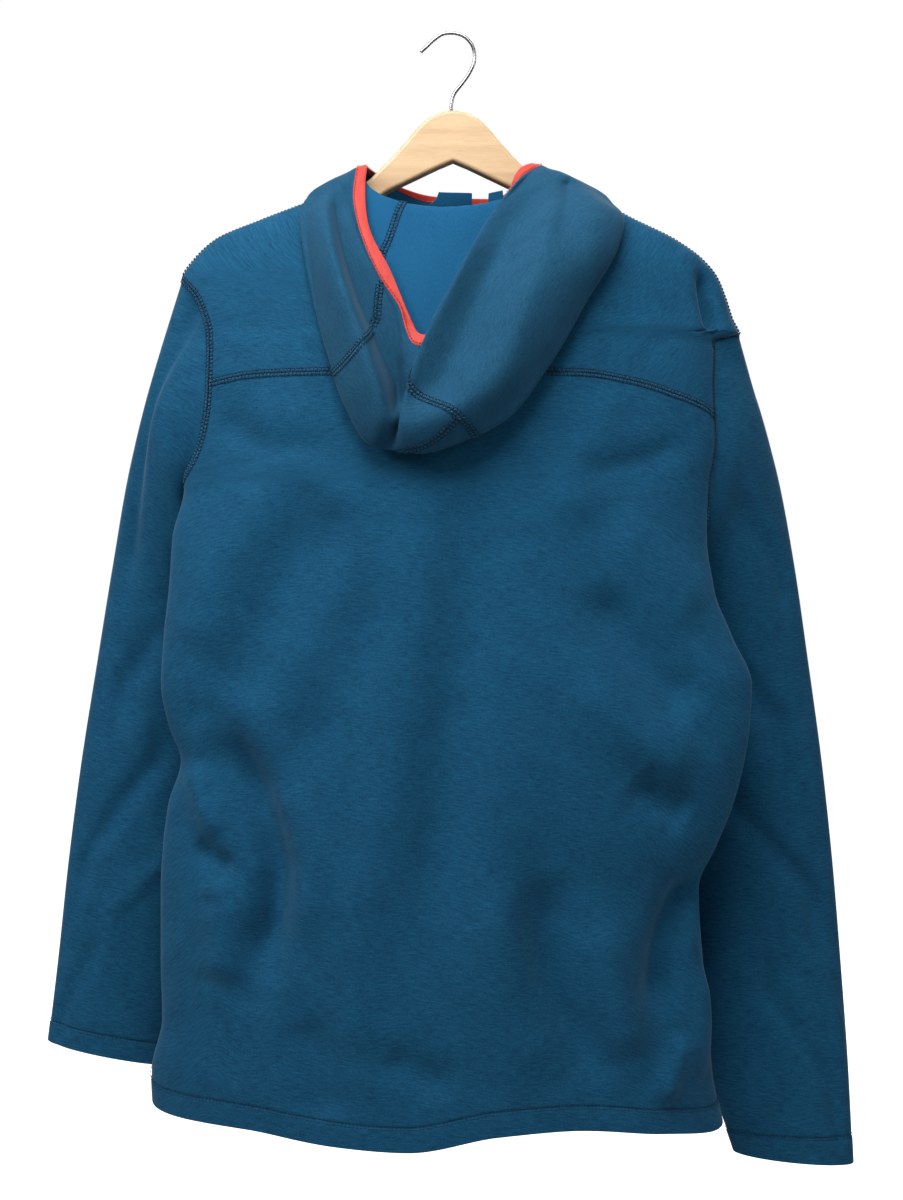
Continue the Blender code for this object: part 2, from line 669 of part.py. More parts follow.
# The hood lies on the back. One row for each section across it, from the left zip edge round the
# back to the right one: its free face edge, the sewn edge of the binding, the fold beside it, the
# valley, the ridge and the outer edge where the cloth turns under, and where its seam meets the
# neckline, in degrees round the body.
# neck_angle, face, bind, fold, valley, ridge, edge
HOOD = [
    (-81, (-73, -16, -117), (-82, -18, -120), (-89, -19, -126),
     (-95, -18, -132), (-109, -24, -143), (-126, -16, -149)),
    (-73, (-74, -28, -139), (-84, -31, -144), (-90, -29, -150),
     (-95, -25, -156), (-111, -38, -160), (-128, -20, -160)),
    (-60, (-69, -46, -178), (-77, -48, -180), (-80, -42, -186),
     (-88, -38, -190), (-106, -66, -202), (-123, -42, -200)),
    (-47, (-52, -58, -213), (-59, -62, -222), (-66, -57, -228),
     (-75, -54, -234), (-94, -84, -242), (-114, -58, -244)),
    (-34, (-41, -62, -240), (-44, -69, -246), (-52, -66, -260),
     (-61, -64, -270), (-82, -96, -280), (-101, -74, -288)),
    (-23, (-33, -70, -259), (-38, -75, -266), (-43, -76, -290),
     (-50, -76, -306), (-66, -101, -320), (-86, -84, -330)),
    (-15, (-28, -77, -268), (-32, -80, -277), (-40, -82, -301),
     (-45, -82, -326), (-56, -99, -345), (-64, -90, -360)),
    (-8, (-23, -80, -270), (-25, -83, -279), (-31, -88, -303),
     (-34, -91, -326), (-42, -95, -345), (-50, -90, -362)),
    (0, (-17, -80, -267), (-19, -84, -276), (-34, -103, -307),
     (-40, -104, -329), (-43, -104, -346), (-44, -95, -363)),
    (6, (-12, -79, -264), (-14, -82, -273), (-32, -106, -302),
     (-28, -103, -322), (-24, -110, -344), (-26, -97, -366)),
    (14, (-7, -77, -259), (-7, -84, -263), (-28, -105, -293),
     (-10, -98, -308), (6, -112, -330), (6, -97, -357)),
    (24, (-2, -74, -248), (-3, -82, -245), (-19, -101, -272),
     (-1, -93, -285), (37, -111, -303), (42, -93, -339)),
    (38, (9, -65, -227), (8, -73, -224), (-3, -93, -237),
     (17, -83, -243), (55, -107, -260), (77, -84, -295)),
    (52, (24, -54, -199), (23, -62, -196), (15, -79, -199),
     (35, -70, -203), (73, -94, -213), (112, -66, -236)),
    (64, (39, -43, -167), (36, -50, -163), (30, -60, -171),
     (50, -54, -171), (88, -72, -173), (138, -46, -190)),
    (75, (48, -30, -140), (52, -37, -137), (48, -45, -149),
     (66, -40, -148), (100, -44, -149), (142, -24, -158)),
    (82, (57, -12, -118), (65, -14, -121), (63, -25, -131),
     (76, -23, -136), (103, -26, -141), (136, -17, -150)),
]
# Where the face edge passes over the hanger's arms, and down the collar to the zip.
# neck_angle, face, bind, fold, valley, ridge, edge
HOOD_OVER_LEFT = (
    -87, (-72, 3, -114), (-81, 0, -115), (-89, -4, -119),
    (-96, -8, -124), (-108, -12, -131), (-123, -11, -141),
)
HOOD_OVER_RIGHT = (
    88, (68, 4, -110), (76, -1, -113), (82, -5, -119),
    (87, -8, -126), (105, -12, -134), (130, -10, -142),
)
# neck_angle, face_x, face_y, face_z
COLLAR_LEFT = [(-184, 17, 70, -124), (-152, -22, 66, -123), (-118, -56, 40, -117)]
COLLAR_RIGHT = [(118, 64, 38, -116), (150, 54, 60, -121), (174, 33, 71, -124)]
COLLAR_BOW = 5.0

RIM_RISE = 13.0  # how far the hood stands up from its seam before it turns over, behind
RIM_RISE_SIDE = 5.0  # and at the sides of the neck
RIM_SHIFT = 4.0
NECK_SEAM_RISE = 1.8
UNDER_STAND_OFF = 4.2
TOP_STAND_OFF = 9.5
NECK_FADE = 16.0  # within this much of the neckline the hood's layers aren't held off the back
BIND = 1  # index of the binding's sewn edge among a section's lines
LAST_STATION = len(COLLAR_LEFT) + len(HOOD) + len(COLLAR_RIGHT) + 1
LAST_LINE = 9


def neck_point(angle):
    """A place on the neck seam, just above the middle of the body's wall."""
    angle = np.asarray(angle, dtype=float)
    place = body(angle, neck_z(angle))
    normal = body_normals(angle, neck_z(angle))
    along = body(angle + 1, neck_z(angle + 1)) - body(angle - 1, neck_z(angle - 1))
    up = unit(np.cross(normal, along))
    up = up * np.where(up[..., 2:] > 0, 1, -1)
    return place - normal * CLOTH / 2 + up * NECK_SEAM_RISE


def laid_back(row):
    """A section of the hood that lies on the back, from its face edge round to the neck seam."""
    seam = neck_point(row[0])
    side = math.sin(math.radians(row[0]))
    rim = seam + np.array([-RIM_SHIFT * side**3, -2.0, mix(RIM_RISE, RIM_RISE_SIDE, side**4)])
    edge = np.array(row[6], dtype=float)
    under = mix(rim, edge, 0.62)
    upper = mix(rim, edge, 0.22)
    for point in (under, upper):
        behind, below = back_at(point[0], point[2])
        point[1] = mix(point[1], behind - UNDER_STAND_OFF, soft_step(below / NECK_FADE))
    return [*row[1:], under, upper, rim, seam]


def collar_section(row):
    """A section of the standing collar, which bows out a little between its edge and its seam."""
    face = np.array(row[1:4], dtype=float)
    seam = neck_point(row[0])
    outward = unit(np.array([seam[0], seam[1], 0.0])[None])[0]
    places = (0.0, 0.12, 0.25, 0.38, 0.5, 0.62, 0.72, 0.84, 0.93, 1.0)
    return [mix(face, seam, t) + outward * COLLAR_BOW * math.sin(math.pi * t) for t in places]


def hood_stations():
    rows = [collar_section(row) for row in COLLAR_LEFT]
    rows += [laid_back(HOOD_OVER_LEFT)]
    rows += [laid_back(row) for row in HOOD]
    rows += [laid_back(HOOD_OVER_RIGHT)]
    rows += [collar_section(row) for row in COLLAR_RIGHT]
    return np.array([[np.array(point, dtype=float) for point in row] for row in rows])


def hood_surface(stations):
    """A function (station, line) -> point; both may be fractions. The last line is the neck seam."""
    rows = COLLAR_LEFT + [HOOD_OVER_LEFT] + HOOD + [HOOD_OVER_RIGHT] + COLLAR_RIGHT
    places = np.arange(len(rows), dtype=float)
    neck_angles = [(place, row[0]) for place, row in zip(places, rows)]

    def surface(c, t):
        c, t = np.broadcast_arrays(np.asarray(c, dtype=float), np.asarray(t, dtype=float))
        flat_c = c.ravel()
        flat_t = t.ravel()
        curves = through(stations, flat_c)
        point = through_each(curves, np.clip(flat_t, 0, LAST_LINE))
        to_seam = neck_point(smooth(neck_angles, 1, flat_c)) - through(stations[:, LAST_LINE], flat_c)
        point += to_seam * soft_step(flat_t - LAST_LINE + 1)[:, None]
        behind, below = back_at(point[:, 0], point[:, 2])
        under = soft_step((flat_t - 4.9) / 1.1)
        limit = behind - mix(TOP_STAND_OFF, UNDER_STAND_OFF - 0.3, under)
        held_off = soft_step(below / NECK_FADE) * soft_step((LAST_LINE - 1 - flat_t) / 0.4)
        held_off = held_off * (point[:, 1] < 0)
        point[:, 1] = mix(point[:, 1], np.minimum(point[:, 1], limit), held_off)
        return point.reshape(c.shape + (3,))

    return surface


# The hood's two long seams, by line: which station each one passes. line, left, right
HOOD_SEAMS = [
    (0, 7.0, 11.2), (1, 7.0, 11.2), (2, 7.2, 12.0), (3, 7.6, 13.0), (4, 8.0, 13.75),
    (5, 8.3, 14.3), (6, 8.7, 14.4), (7, 9.0, 14.5), (9, 9.0, 14.5),
]
# The cross seam of its centre strip, by place across the strip. across, line
CROSS_SEAM = [(0.0, 5.3), (0.2, 4.9), (0.45, 4.6), (0.75, 4.4), (1.0, 4.0)]


SIDE_COLUMNS = 17
CROWN_COLUMNS = 11
CROWN_ROWS = 10


def grid_wall(name, finish, surface, c, t, thick, gap):
    """A wall round the hood's surface at a grid of stations c and lines t."""
    normals = surface_normals(surface, c, t, 0.06, 0.06)
    wall(name, finish, draw_in(surface(c, t), normals, gap), normals, thick / 2, thick / 2)


def hood_panel(name, finish, surface, c_left, c_right, t_rows, columns, gap=HOOD_GAP):
    """A panel between two lines of stations; t_rows(s) are its rows' lines of the hood's sections."""
    s = np.linspace(0, 1, columns)[None, :]
    t = t_rows(s)
    grid_wall(name, finish, surface, mix(c_left(t), c_right(t), s), t, HOOD_CLOTH, gap)


def make_hood(cloth, binding, surface):
    last = float(LAST_STATION)

    def constant(value):
        return lambda at: value + 0 * at

    def seam(column):
        return lambda t: smooth(HOOD_SEAMS, column, t)

    first = float(BIND)
    part = np.linspace(0, 1, CROWN_ROWS)[:, None]

    def side_rows(across):
        """Rows that meet those of the centre strip, above and below its cross seam."""
        middle = float(smooth(CROSS_SEAM, 1, across))
        lines = np.concatenate([mix(first, middle, part), mix(middle, float(LAST_LINE), part)[1:]])
        return lambda s: lines + 0 * s

    def top_rows(s):
        return mix(first, smooth(CROSS_SEAM, 1, s), part)

    def back_rows(s):
        return mix(smooth(CROSS_SEAM, 1, s), float(LAST_LINE), part)

    hood_panel("hood_side_left", cloth, surface, constant(0.0), seam(1), side_rows(0.0), SIDE_COLUMNS)
    hood_panel("hood_side_right", cloth, surface, seam(2), constant(last), side_rows(1.0), SIDE_COLUMNS)
    hood_panel("hood_crown_top", cloth, surface, seam(1), seam(2), top_rows, CROWN_COLUMNS, TOP_GAP)
    hood_panel("hood_crown_back", cloth, surface, seam(1), seam(2), back_rows, CROWN_COLUMNS, TURNED_GAP)
    joins = (0.0, float(HOOD_SEAMS[1][1]), float(HOOD_SEAMS[1][2]), last)
    counts = (SIDE_COLUMNS, CROWN_COLUMNS, SIDE_COLUMNS)
    spans = zip(joins[:-1], joins[1:], counts)
    c = np.concatenate([np.linspace(a, b, n)[:-1] for a, b, n in spans] + [[last]])
    t = np.array([0.0, 0.5, float(BIND)])[:, None]
    gap = 1.8 * HOOD_GAP
    grid_wall("hood_binding", binding, surface, c[None, :] + 0 * t, t + 0 * c[None, :], BINDING_CLOTH, gap)


# ---------------------------------------------------------------- zip

GUARD_CLOTH = 1.4
SLIDER_LENGTH = 10.0
SLIDER_WIDTH = 8.4
SLIDER_THICK = 4.0
PIN_UP = 3.0  # the pull's pin, above the slider's middle
PULL_LENGTH = 24.0
PULL_WIDTH = 6.0
PULL_THICK = 1.6


def make_zip_tape(name, finish, sign):
    """The tape behind a front's edge, made from the front's own points, and thicker at the coil."""
    angle, z, _ = front_grid(sign)
    near = slice(0, 2) if sign < 0 else slice(-2, None)
    at_zip = z[:, :1] if sign < 0 else z[:, -1:]
    reach = np.array([0.2, COIL_WIDTH, COIL_WIDTH + 0.3])[None, ::-sign]
    coil_angle = front_angle(zip_x(at_zip) + sign * reach, at_zip, sign)
    parts = [(coil_angle, at_zip + 0 * reach), (angle[:, near], z[:, near])][::-sign]
    angle = np.concatenate([part[0] for part in parts], axis=1)
    z = np.concatenate([part[1] for part in parts], axis=1)
    depth = CLOTH + SEAM_GAP
    coil = np.array([True, True, False, False, False])[None, ::-sign]
    out = np.where(coil, -depth + COIL_THICK - TAPE_CLOTH, -depth)
    wall(name, finish, body(angle, z), body_normals(angle, z), out + 0 * z, depth + TAPE_CLOTH)


def make_zip_guard(name, finish, surface, c_from, c_to, top, low):
    """A soft guard on the inside of the collar's front, a little higher than its edge."""
    c = np.linspace(c_from, c_to, 5)[None, :]
    t = np.linspace(0, low, 7)[:, None]
    points = surface(c + 0 * t, t + 0 * c)
    normals = surface_normals(surface, c + 0 * t, t + 0 * c, 0.06, 0.06)
    points = points.copy()
    points[0, :, 2] += top
    inside = BINDING_CLOTH / 2 + SEAM_GAP
    wall(name, finish, points, normals, -inside, inside + GUARD_CLOTH)


def box(name, finish, size, middle, place, tilt, bevel):
    """A box with rounded edges, leaning back by `tilt`; its middle is at `middle` from its origin."""
    bpy.ops.mesh.primitive_cube_add(size=1.0)
    thing = bpy.context.object
    thing.name = name
    thing.data.name = name
    shape = Matrix.Translation(Vector(middle) * MM) @ Matrix.Diagonal(Vector((*size, 1 / MM)) * MM)
    thing.data.transform(shape)
    thing.location = Vector(place) * MM
    thing.rotation_euler = (tilt, 0, 0)
    rounding = thing.modifiers.new("rounded edges", "BEVEL")
    rounding.width = bevel * MM
    rounding.segments = 2
    for collection in list(thing.users_collection):
        collection.objects.unlink(thing)
    bpy.data.collections["hooded_fleece_jacket"].objects.link(thing)
    thing.data.materials.append(finish)


def make_slider_and_pull(metal):
    """The slider sits at the top of the closed zip; the pull hangs from it on a pin along X."""
    z = ZIP_TOP_Z - 6
    x = float(zip_x(np.array(z)))
    angle = float(front_angle(x, np.array(z), 1))
    front = body(angle, z)
    out = body_normals(angle, z)
    tilt = math.atan2(out[2], out[1])
    coil_top = COIL_THICK - TAPE_CLOTH - CLOTH
    lift = coil_top + SLIDER_THICK / 2
    slider = (x, front[1] + out[1] * lift, z + out[2] * lift)
    box("zip_slider", metal, (SLIDER_WIDTH, SLIDER_THICK, SLIDER_LENGTH), (0, 0, 0), slider, tilt, 0.8)
    lift += SLIDER_THICK / 2 + SEAM_GAP + PULL_THICK / 2
    pin = (x, front[1] + out[1] * lift - out[2] * PIN_UP, z + out[2] * lift + out[1] * PIN_UP)
    size = (PULL_WIDTH, PULL_THICK, PULL_LENGTH)
    box("zip_pull", metal, size, (0, 0, PULL_THICK / 2 - PULL_LENGTH / 2), pin, tilt, 0.5)


# ---------------------------------------------------------------- hanger

# The wire hook's route in the plane of the hanger, from the wood up and round to its tip. x, z
HOOK_ROUTE = [
    (-1, -72), (-1, -58), (1, -51), (7, -43), (14, -33), (18.5, -22), (16.5, -9),
    (9, -1), (0, 1.5), (-9, 0.5), (-16, -4), (-23, -10.5), (-28, -15),
]
# The upper line of the wood between its centre and where the cloth covers it. x, z
WOOD_TOP = [
    (0, -66), (12, -68), (22, -73), (32, -83), (42, -95),
    (52, -106), (60, -114), (70, -124), (80, -131.5),
]
WOOD_UNDER_PEAK = -110.0
WOOD_UNDER = [(12, -115), (54, -135), (74, -147)]
ARM_CLEAR = 0.6  # between the wood and the cloth over it
TIP_ROUND = 12.0  # where an arm's end starts to round off


def shoulder_line(sign, drop):
    """The shoulder's line at the rows of its panels, moved in by `drop`: (reach, z), from the neck."""
    armhole = ARMHOLE_LEFT if sign < 0 else ARMHOLE_RIGHT
    z = np.array([mix(NECK_SIDE_Z, armhole[0][0], part) for part in (0.0,) + NECK_TO_TIP])
    reach = np.abs(smooth(BODY, 1 if sign < 0 else 3, z))
    run = np.stack([np.gradient(reach), np.gradient(z)], axis=-1)
    inward = unit(np.stack([run[:, 1], -run[:, 0]], axis=-1))
    return np.stack([reach, z], axis=-1) + inward * drop


def make_wood(finish):
    """The two arms as one flat outline with rounded edges, following the shoulders from inside."""
    def arm(sign):
        line = shoulder_line(sign, CLOTH + ARM_CLEAR)
        end_x = WOOD_TIP_X - TIP_ROUND
        end_z = float(np.interp(end_x, line[:, 0], line[:, 1]))
        covered = [(x, z) for x, z in line if WOOD_TOP[-1][0] + 4 < x < end_x - 6]
        top = WOOD_TOP + covered + [(end_x, end_z)]
        tip = [(WOOD_TIP_X - 3, end_z - 7), (WOOD_TIP_X, end_z - 13), (WOOD_TIP_X - 4, end_z - 20)]
        low = [(x - 4, z - ARM_DEPTH) for x, z in reversed(covered)]
        low += list(reversed(WOOD_UNDER))
        return [(sign * x, z) for x, z in top + tip + low]

    left = arm(-1)
    right = arm(1)
    outline = right + [(0, WOOD_UNDER_PEAK)] + left[:0:-1]
    curve = bpy.data.curves.new("hanger_wood", "CURVE")
    curve.dimensions = "2D"
    curve.fill_mode = "BOTH"
    curve.extrude = (WOOD_THICK / 2 - WOOD_ROUND) * MM
    curve.bevel_depth = WOOD_ROUND * MM
    curve.bevel_resolution = 1
    curve.offset = -WOOD_ROUND * MM
    line = curve.splines.new("POLY")
    line.points.add(len(outline) - 1)
    for point, (x, z) in zip(line.points, outline):
        point.co = (x * MM, z * MM, 0, 1)
    line.use_cyclic_u = True
    thing = add_object("hanger_wood", curve, finish)
    thing.rotation_euler = (math.radians(90), 0, 0)


def make_hook(finish):
    route = through(np.array(HOOK_ROUTE, dtype=float), np.linspace(0, len(HOOK_ROUTE) - 1, 37))
    route[0, 1] = WOOD_TOP[0][1] + SEAM_GAP
    route = route[route[:, 1] > WOOD_TOP[0][1] + SEAM_GAP - 0.01]
    curve = bpy.data.curves.new("hanger_hook", "CURVE")
    curve.dimensions = "3D"
    curve.bevel_depth = WIRE_RADIUS * MM
    curve.bevel_resolution = 2
    curve.use_fill_caps = True
    line = curve.splines.new("POLY")
    line.points.add(len(route) - 1)
    for point, (x, z) in zip(line.points, route):
        point.co = (x * MM, 0, z * MM, 1)
    add_object("hanger_hook", curve, finish)


# ---------------------------------------------------------------- assembly


def main():
    for thing in list(bpy.data.objects):
        bpy.data.objects.remove(thing, do_unlink=True)
    collection = bpy.data.collections.new("hooded_fleece_jacket")
    bpy.context.scene.collection.children.link(collection)

    fleece = material("blue_fleece", (0.016, 0.078, 0.150), 0.9)
    hood_fleece = material("hood_fleece", (0.018, 0.080, 0.135), 0.9)
    orange = material("orange_binding", (0.70, 0.085, 0.045), 0.75)
    tape = material("zip_tape", (0.02, 0.07, 0.13), 0.8)
    metal = material("zip_metal", (0.25, 0.26, 0.28), 0.4, 1.0)
    beech = material("pale_beech", (0.72, 0.50, 0.30), 0.5)
    steel = material("chromed_wire", (0.72, 0.72, 0.72), 0.2, 1.0)

    make_back(fleece)
    make_front("front_left", fleece, -1)
    make_front("front_right", fleece, 1)
    make_sleeve("sleeve_left", fleece, SLEEVE_LEFT, CREASES_LEFT, ARMHOLE_LEFT, YOKE_SEAM[0][1], -1)
    make_sleeve("sleeve_right", fleece, SLEEVE_RIGHT, CREASES_RIGHT, ARMHOLE_RIGHT, YOKE_SEAM[-1][1], 1)
    surface = hood_surface(hood_stations())
    make_hood(hood_fleece, orange, surface)
    make_zip_guard("zip_guard_left", fleece, surface, 0.0, 0.75, 4.0, 2.6)
    make_zip_guard("zip_guard_right", fleece, surface, LAST_STATION - 0.55, float(LAST_STATION), 4.0, 2.6)
    make_zip_tape("zip_tape_left", tape, -1)
    make_zip_tape("zip_tape_right", tape, 1)
    make_slider_and_pull(metal)
    make_wood(beech)
    make_hook(steel)


main()
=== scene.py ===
"""The looks of a hooded fleece jacket on a wooden clothes hanger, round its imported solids.

+Z is up, +Y is the wearer's front and -X the wearer's left. The origin is the inside top of the
hanger's hook. Sizes and tables are in millimetres; a mesh is scaled to metres when it is made.
"""

import math

import bpy
import numpy as np
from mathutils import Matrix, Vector


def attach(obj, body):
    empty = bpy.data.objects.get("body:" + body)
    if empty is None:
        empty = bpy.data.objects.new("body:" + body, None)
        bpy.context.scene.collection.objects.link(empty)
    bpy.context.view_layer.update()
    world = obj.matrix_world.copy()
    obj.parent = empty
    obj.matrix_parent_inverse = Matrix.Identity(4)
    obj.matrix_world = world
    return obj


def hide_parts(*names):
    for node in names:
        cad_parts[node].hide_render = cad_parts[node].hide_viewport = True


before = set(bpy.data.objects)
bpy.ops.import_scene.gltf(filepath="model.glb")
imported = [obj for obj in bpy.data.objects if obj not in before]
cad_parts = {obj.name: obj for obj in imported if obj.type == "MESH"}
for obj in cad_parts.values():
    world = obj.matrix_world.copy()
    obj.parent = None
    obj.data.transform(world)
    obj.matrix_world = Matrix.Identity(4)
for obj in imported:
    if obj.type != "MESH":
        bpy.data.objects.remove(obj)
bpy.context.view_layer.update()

MM = 0.001
JACKET = "jacket_on_hanger"
scene = bpy.context.scene

# ---------------------------------------------------------------- camera
# Level with the middle of the jacket's back and looking along +Y, 1.5 m behind it, as a garment is
# photographed on a wall hook.

EYE = (-0.0013, -1.5, -0.486)  # metres
VIEW_HEIGHT = 1.032  # metres from top to bottom of the picture, at the hanger
SENSOR = 36

camera = bpy.data.objects.new("camera", bpy.data.cameras.new("camera"))
scene.collection.objects.link(camera)
camera.location = EYE
camera.rotation_euler = (math.radians(90), 0, 0)
camera.data.sensor_width = SENSOR
camera.data.lens = SENSOR * -EYE[1] / VIEW_HEIGHT
scene.camera = camera

# ---------------------------------------------------------------- back and fronts
# The body is cut from smooth-faced knit fleece, 1.8 mm thick: a yoke and a lower back, and two
# fronts that the zip joins. Seams are flat, under three rows of stitches, and the hem is turned up.

CLOTH = 1.8
TURN_UP = 20.0  # depth of the turned hem and cuffs
TURN_STEP = 0.7
SIDE_SEAM = 100.0  # degrees round the body from the middle of the back
SEAM_GAP = 0.3
ZIP_TOP_Z = -206.0
ZIP_TOP_X = 20.0
ZIP_HEM_X = 12.0
ZIP_RUN = 700.0  # the height over which the zip leans from one x to the other
ZIP_GAP = 9.4


def smooth(table, column, key):
    """Reads one column of a table at `key` by a smooth curve that never overshoots its rows."""
    rows = np.array(sorted(table, key=lambda row: row[0]), dtype=float)
    xs = rows[:, 0]
    ys = rows[:, column]
    steps = np.diff(xs)
    slopes = np.diff(ys) / steps
    tangents = np.zeros_like(ys)
    same = slopes[:-1] * slopes[1:] > 0
    harmonic = 2.0 * slopes[:-1] * slopes[1:] / np.where(same, slopes[:-1] + slopes[1:], 1.0)
    tangents[1:-1] = np.where(same, harmonic, 0.0)
    tangents[0] = slopes[0]
    tangents[-1] = slopes[-1]
    key = np.clip(np.asarray(key, dtype=float), xs[0], xs[-1])
    i = np.clip(np.searchsorted(xs, key, side="right") - 1, 0, len(xs) - 2)
    t = (key - xs[i]) / steps[i]
    rise = ys[i] * (1 + 2 * t) * (1 - t) ** 2 + ys[i + 1] * t * t * (3 - 2 * t)
    return rise + steps[i] * (tangents[i] * t * (1 - t) ** 2 - tangents[i + 1] * t * t * (1 - t))


def tangents(points):
    """The direction of a smooth curve at each of its points, and the lengths of its steps."""
    steps = np.diff(points, axis=0)
    lengths = np.maximum(np.linalg.norm(steps, axis=-1, keepdims=True), 1e-6)
    slopes = steps / lengths
    inner = (slopes[:-1] * lengths[1:] + slopes[1:] * lengths[:-1]) / (lengths[:-1] + lengths[1:])
    return np.concatenate([slopes[:1], inner, slopes[-1:]]), lengths


def hermite(a, b, slope_a, slope_b, t):
    rise = a * (1 + 2 * t) * (1 - t) ** 2 + b * t * t * (3 - 2 * t)
    return rise + slope_a * t * (1 - t) ** 2 - slope_b * t * t * (1 - t)


def through(points, where):
    """Smooth curve through points[0], points[1], ... read at the fractional indices `where`."""
    points = np.asarray(points, dtype=float)
    slopes, lengths = tangents(points)
    where = np.clip(np.asarray(where, dtype=float), 0, len(points) - 1)
    i = np.minimum(where.astype(int), len(points) - 2)
    t = (where - i).reshape(where.shape + (1,) * (points.ndim - 1))
    return hermite(points[i], points[i + 1], slopes[i] * lengths[i], slopes[i + 1] * lengths[i], t)


def through_each(curves, where):
    """The same for a row of curves, each read at its own place."""
    points = np.moveaxis(curves, 1, 0)
    slopes, lengths = tangents(points)
    i = np.minimum(where.astype(int), len(points) - 2)
    each = np.arange(len(where))
    t = (where - i)[:, None]
    length = lengths[i, each]
    start = slopes[i, each] * length
    end = slopes[i + 1, each] * length
    return hermite(points[i, each], points[i + 1, each], start, end, t)


def mix(a, b, t):
    return a + (b - a) * t


def unit(vectors):
    return vectors / np.maximum(np.linalg.norm(vectors, axis=-1, keepdims=True), 1e-9)


def soft_step(t):
    t = np.clip(t, 0.0, 1.0)
    return t * t * (3 - 2 * t)


# One row for each level section of the body: its height, the places of its left and right edges,
# how far its middle stands out behind and in front, and how round each of these two sides is
# (1 is an ellipse, less is blunter, 2 is a lens).
# z, left_x, left_y, right_x, right_y, back_y, front_y, back_round, front_round
BODY = [
    (-128, -84, 0, 84, 0, -13, 14, 0.55, 0.6),
    (-137, -103, 0, 103, 0, -17, 22, 0.55, 0.65),
    (-147, -130, 0, 130, 0, -22, 34, 0.6, 0.7),
    (-160, -164, 0, 156, 0, -28, 46, 0.65, 0.75),
    (-177, -203, -1, 190, -1, -36, 56, 0.7, 0.85),
    (-195, -222, -3, 215, 0, -44, 64, 0.8, 1.0),
    (-209, -231, -5, 227, 3, -49, 68, 0.9, 1.2),
    (-227, -234, -7, 235, 6, -54, 72, 0.95, 1.4),
    (-244, -234, -9, 241, 8, -58, 75, 1.0, 1.5),
    (-257, -234, -10, 247, 9, -61, 78, 1.05, 1.6),
    (-269, -234, -11, 224, -9, -63, 79, 1.1, 1.7),
    (-303, -233, -12, 221, -16, -68, 84, 1.15, 1.8),
    (-350, -230, -13, 223, -17, -73, 88, 1.2, 1.9),
    (-391, -229, -15, 217, -19, -76, 90, 1.2, 2.0),
    (-433, -238, -20, 215, -22, -78, 92, 1.2, 2.0),
    (-474, -240, -25, 219, -28, -80, 92, 1.2, 2.0),
    (-517, -244, -28, 235, -32, -81, 92, 1.2, 2.0),
    (-557, -246, -30, 251, -35, -82, 92, 1.2, 2.0),
    (-594, -239, -29, 249, -35, -82, 92, 1.2, 2.0),
    (-621, -230, -25, 245, -34, -82, 92, 1.2, 2.0),
    (-658, -241, -22, 236, -31, -82, 92, 1.2, 2.0),
    (-694, -246, -20, 222, -28, -82, 92, 1.2, 2.0),
    (-729, -248, -20, 208, -24, -82, 92, 1.2, 2.0),
    (-790, -248, -20, 212, -18, -83, 92, 1.2, 2.0),
    (-840, -247, -18, 217, -15, -84, 93, 1.2, 2.0),
    (-886, -257, -12, 221, -11, -85, 94, 1.2, 2.0),
    (-940, -254, -12, 232, -8, -86, 95, 1.2, 2.0),
]

# The armholes, from the shoulder's tip down to the underarm, as degrees round the body from the
# middle of the back, on its back and its front. Under the last row both run on as the side seam.
# z, back_angle, front_angle
ARMHOLE_LEFT = [
    (-209, 90, 90),
    (-216, 78, 101),
    (-226, 69, 108),
    (-246, 63.5, 116),
    (-274, 60.5, 121),
    (-308, 61.5, 122),
    (-346, 66, 119),
    (-367, 72, 114),
    (-381, 83, 108),
    (-391, 100, 100),
]
ARMHOLE_RIGHT = [
    (-257, 90, 90),
    (-260, 79, 97),
    (-264, 80, 102),
    (-271, 86, 107),
    (-290, 88, 115),
    (-330, 88, 122),
    (-370, 88, 123),
    (-400, 90, 118),
    (-418, 94, 110),
    (-427, 100, 100),
]

# The lower edge behind, by place across the back: 0 at the left side seam, 1 at the right one.
# across, z
HEM_BACK = [
    (0.0, -893),
    (0.05, -912),
    (0.15, -918),
    (0.3, -922),
    (0.4, -932),
    (0.47, -935),
    (0.56, -923),
    (0.63, -920),
    (0.75, -929),
    (0.87, -935),
    (0.94, -932),
    (1.0, -915),
]
HEM_FRONT_DROP = 6.0  # the front hangs this much lower at the zip than at its side seams
HEM_FRONT_STEP = 14.0  # and its hem turns down this much close to them

# The cross seam of the back, by place across it. across, z
YOKE_SEAM = [
    (0.0, -304),
    (0.12, -298),
    (0.3, -297),
    (0.6, -298),
    (0.7, -304),
    (0.8, -314),
    (0.93, -325),
    (1.0, -331),
]

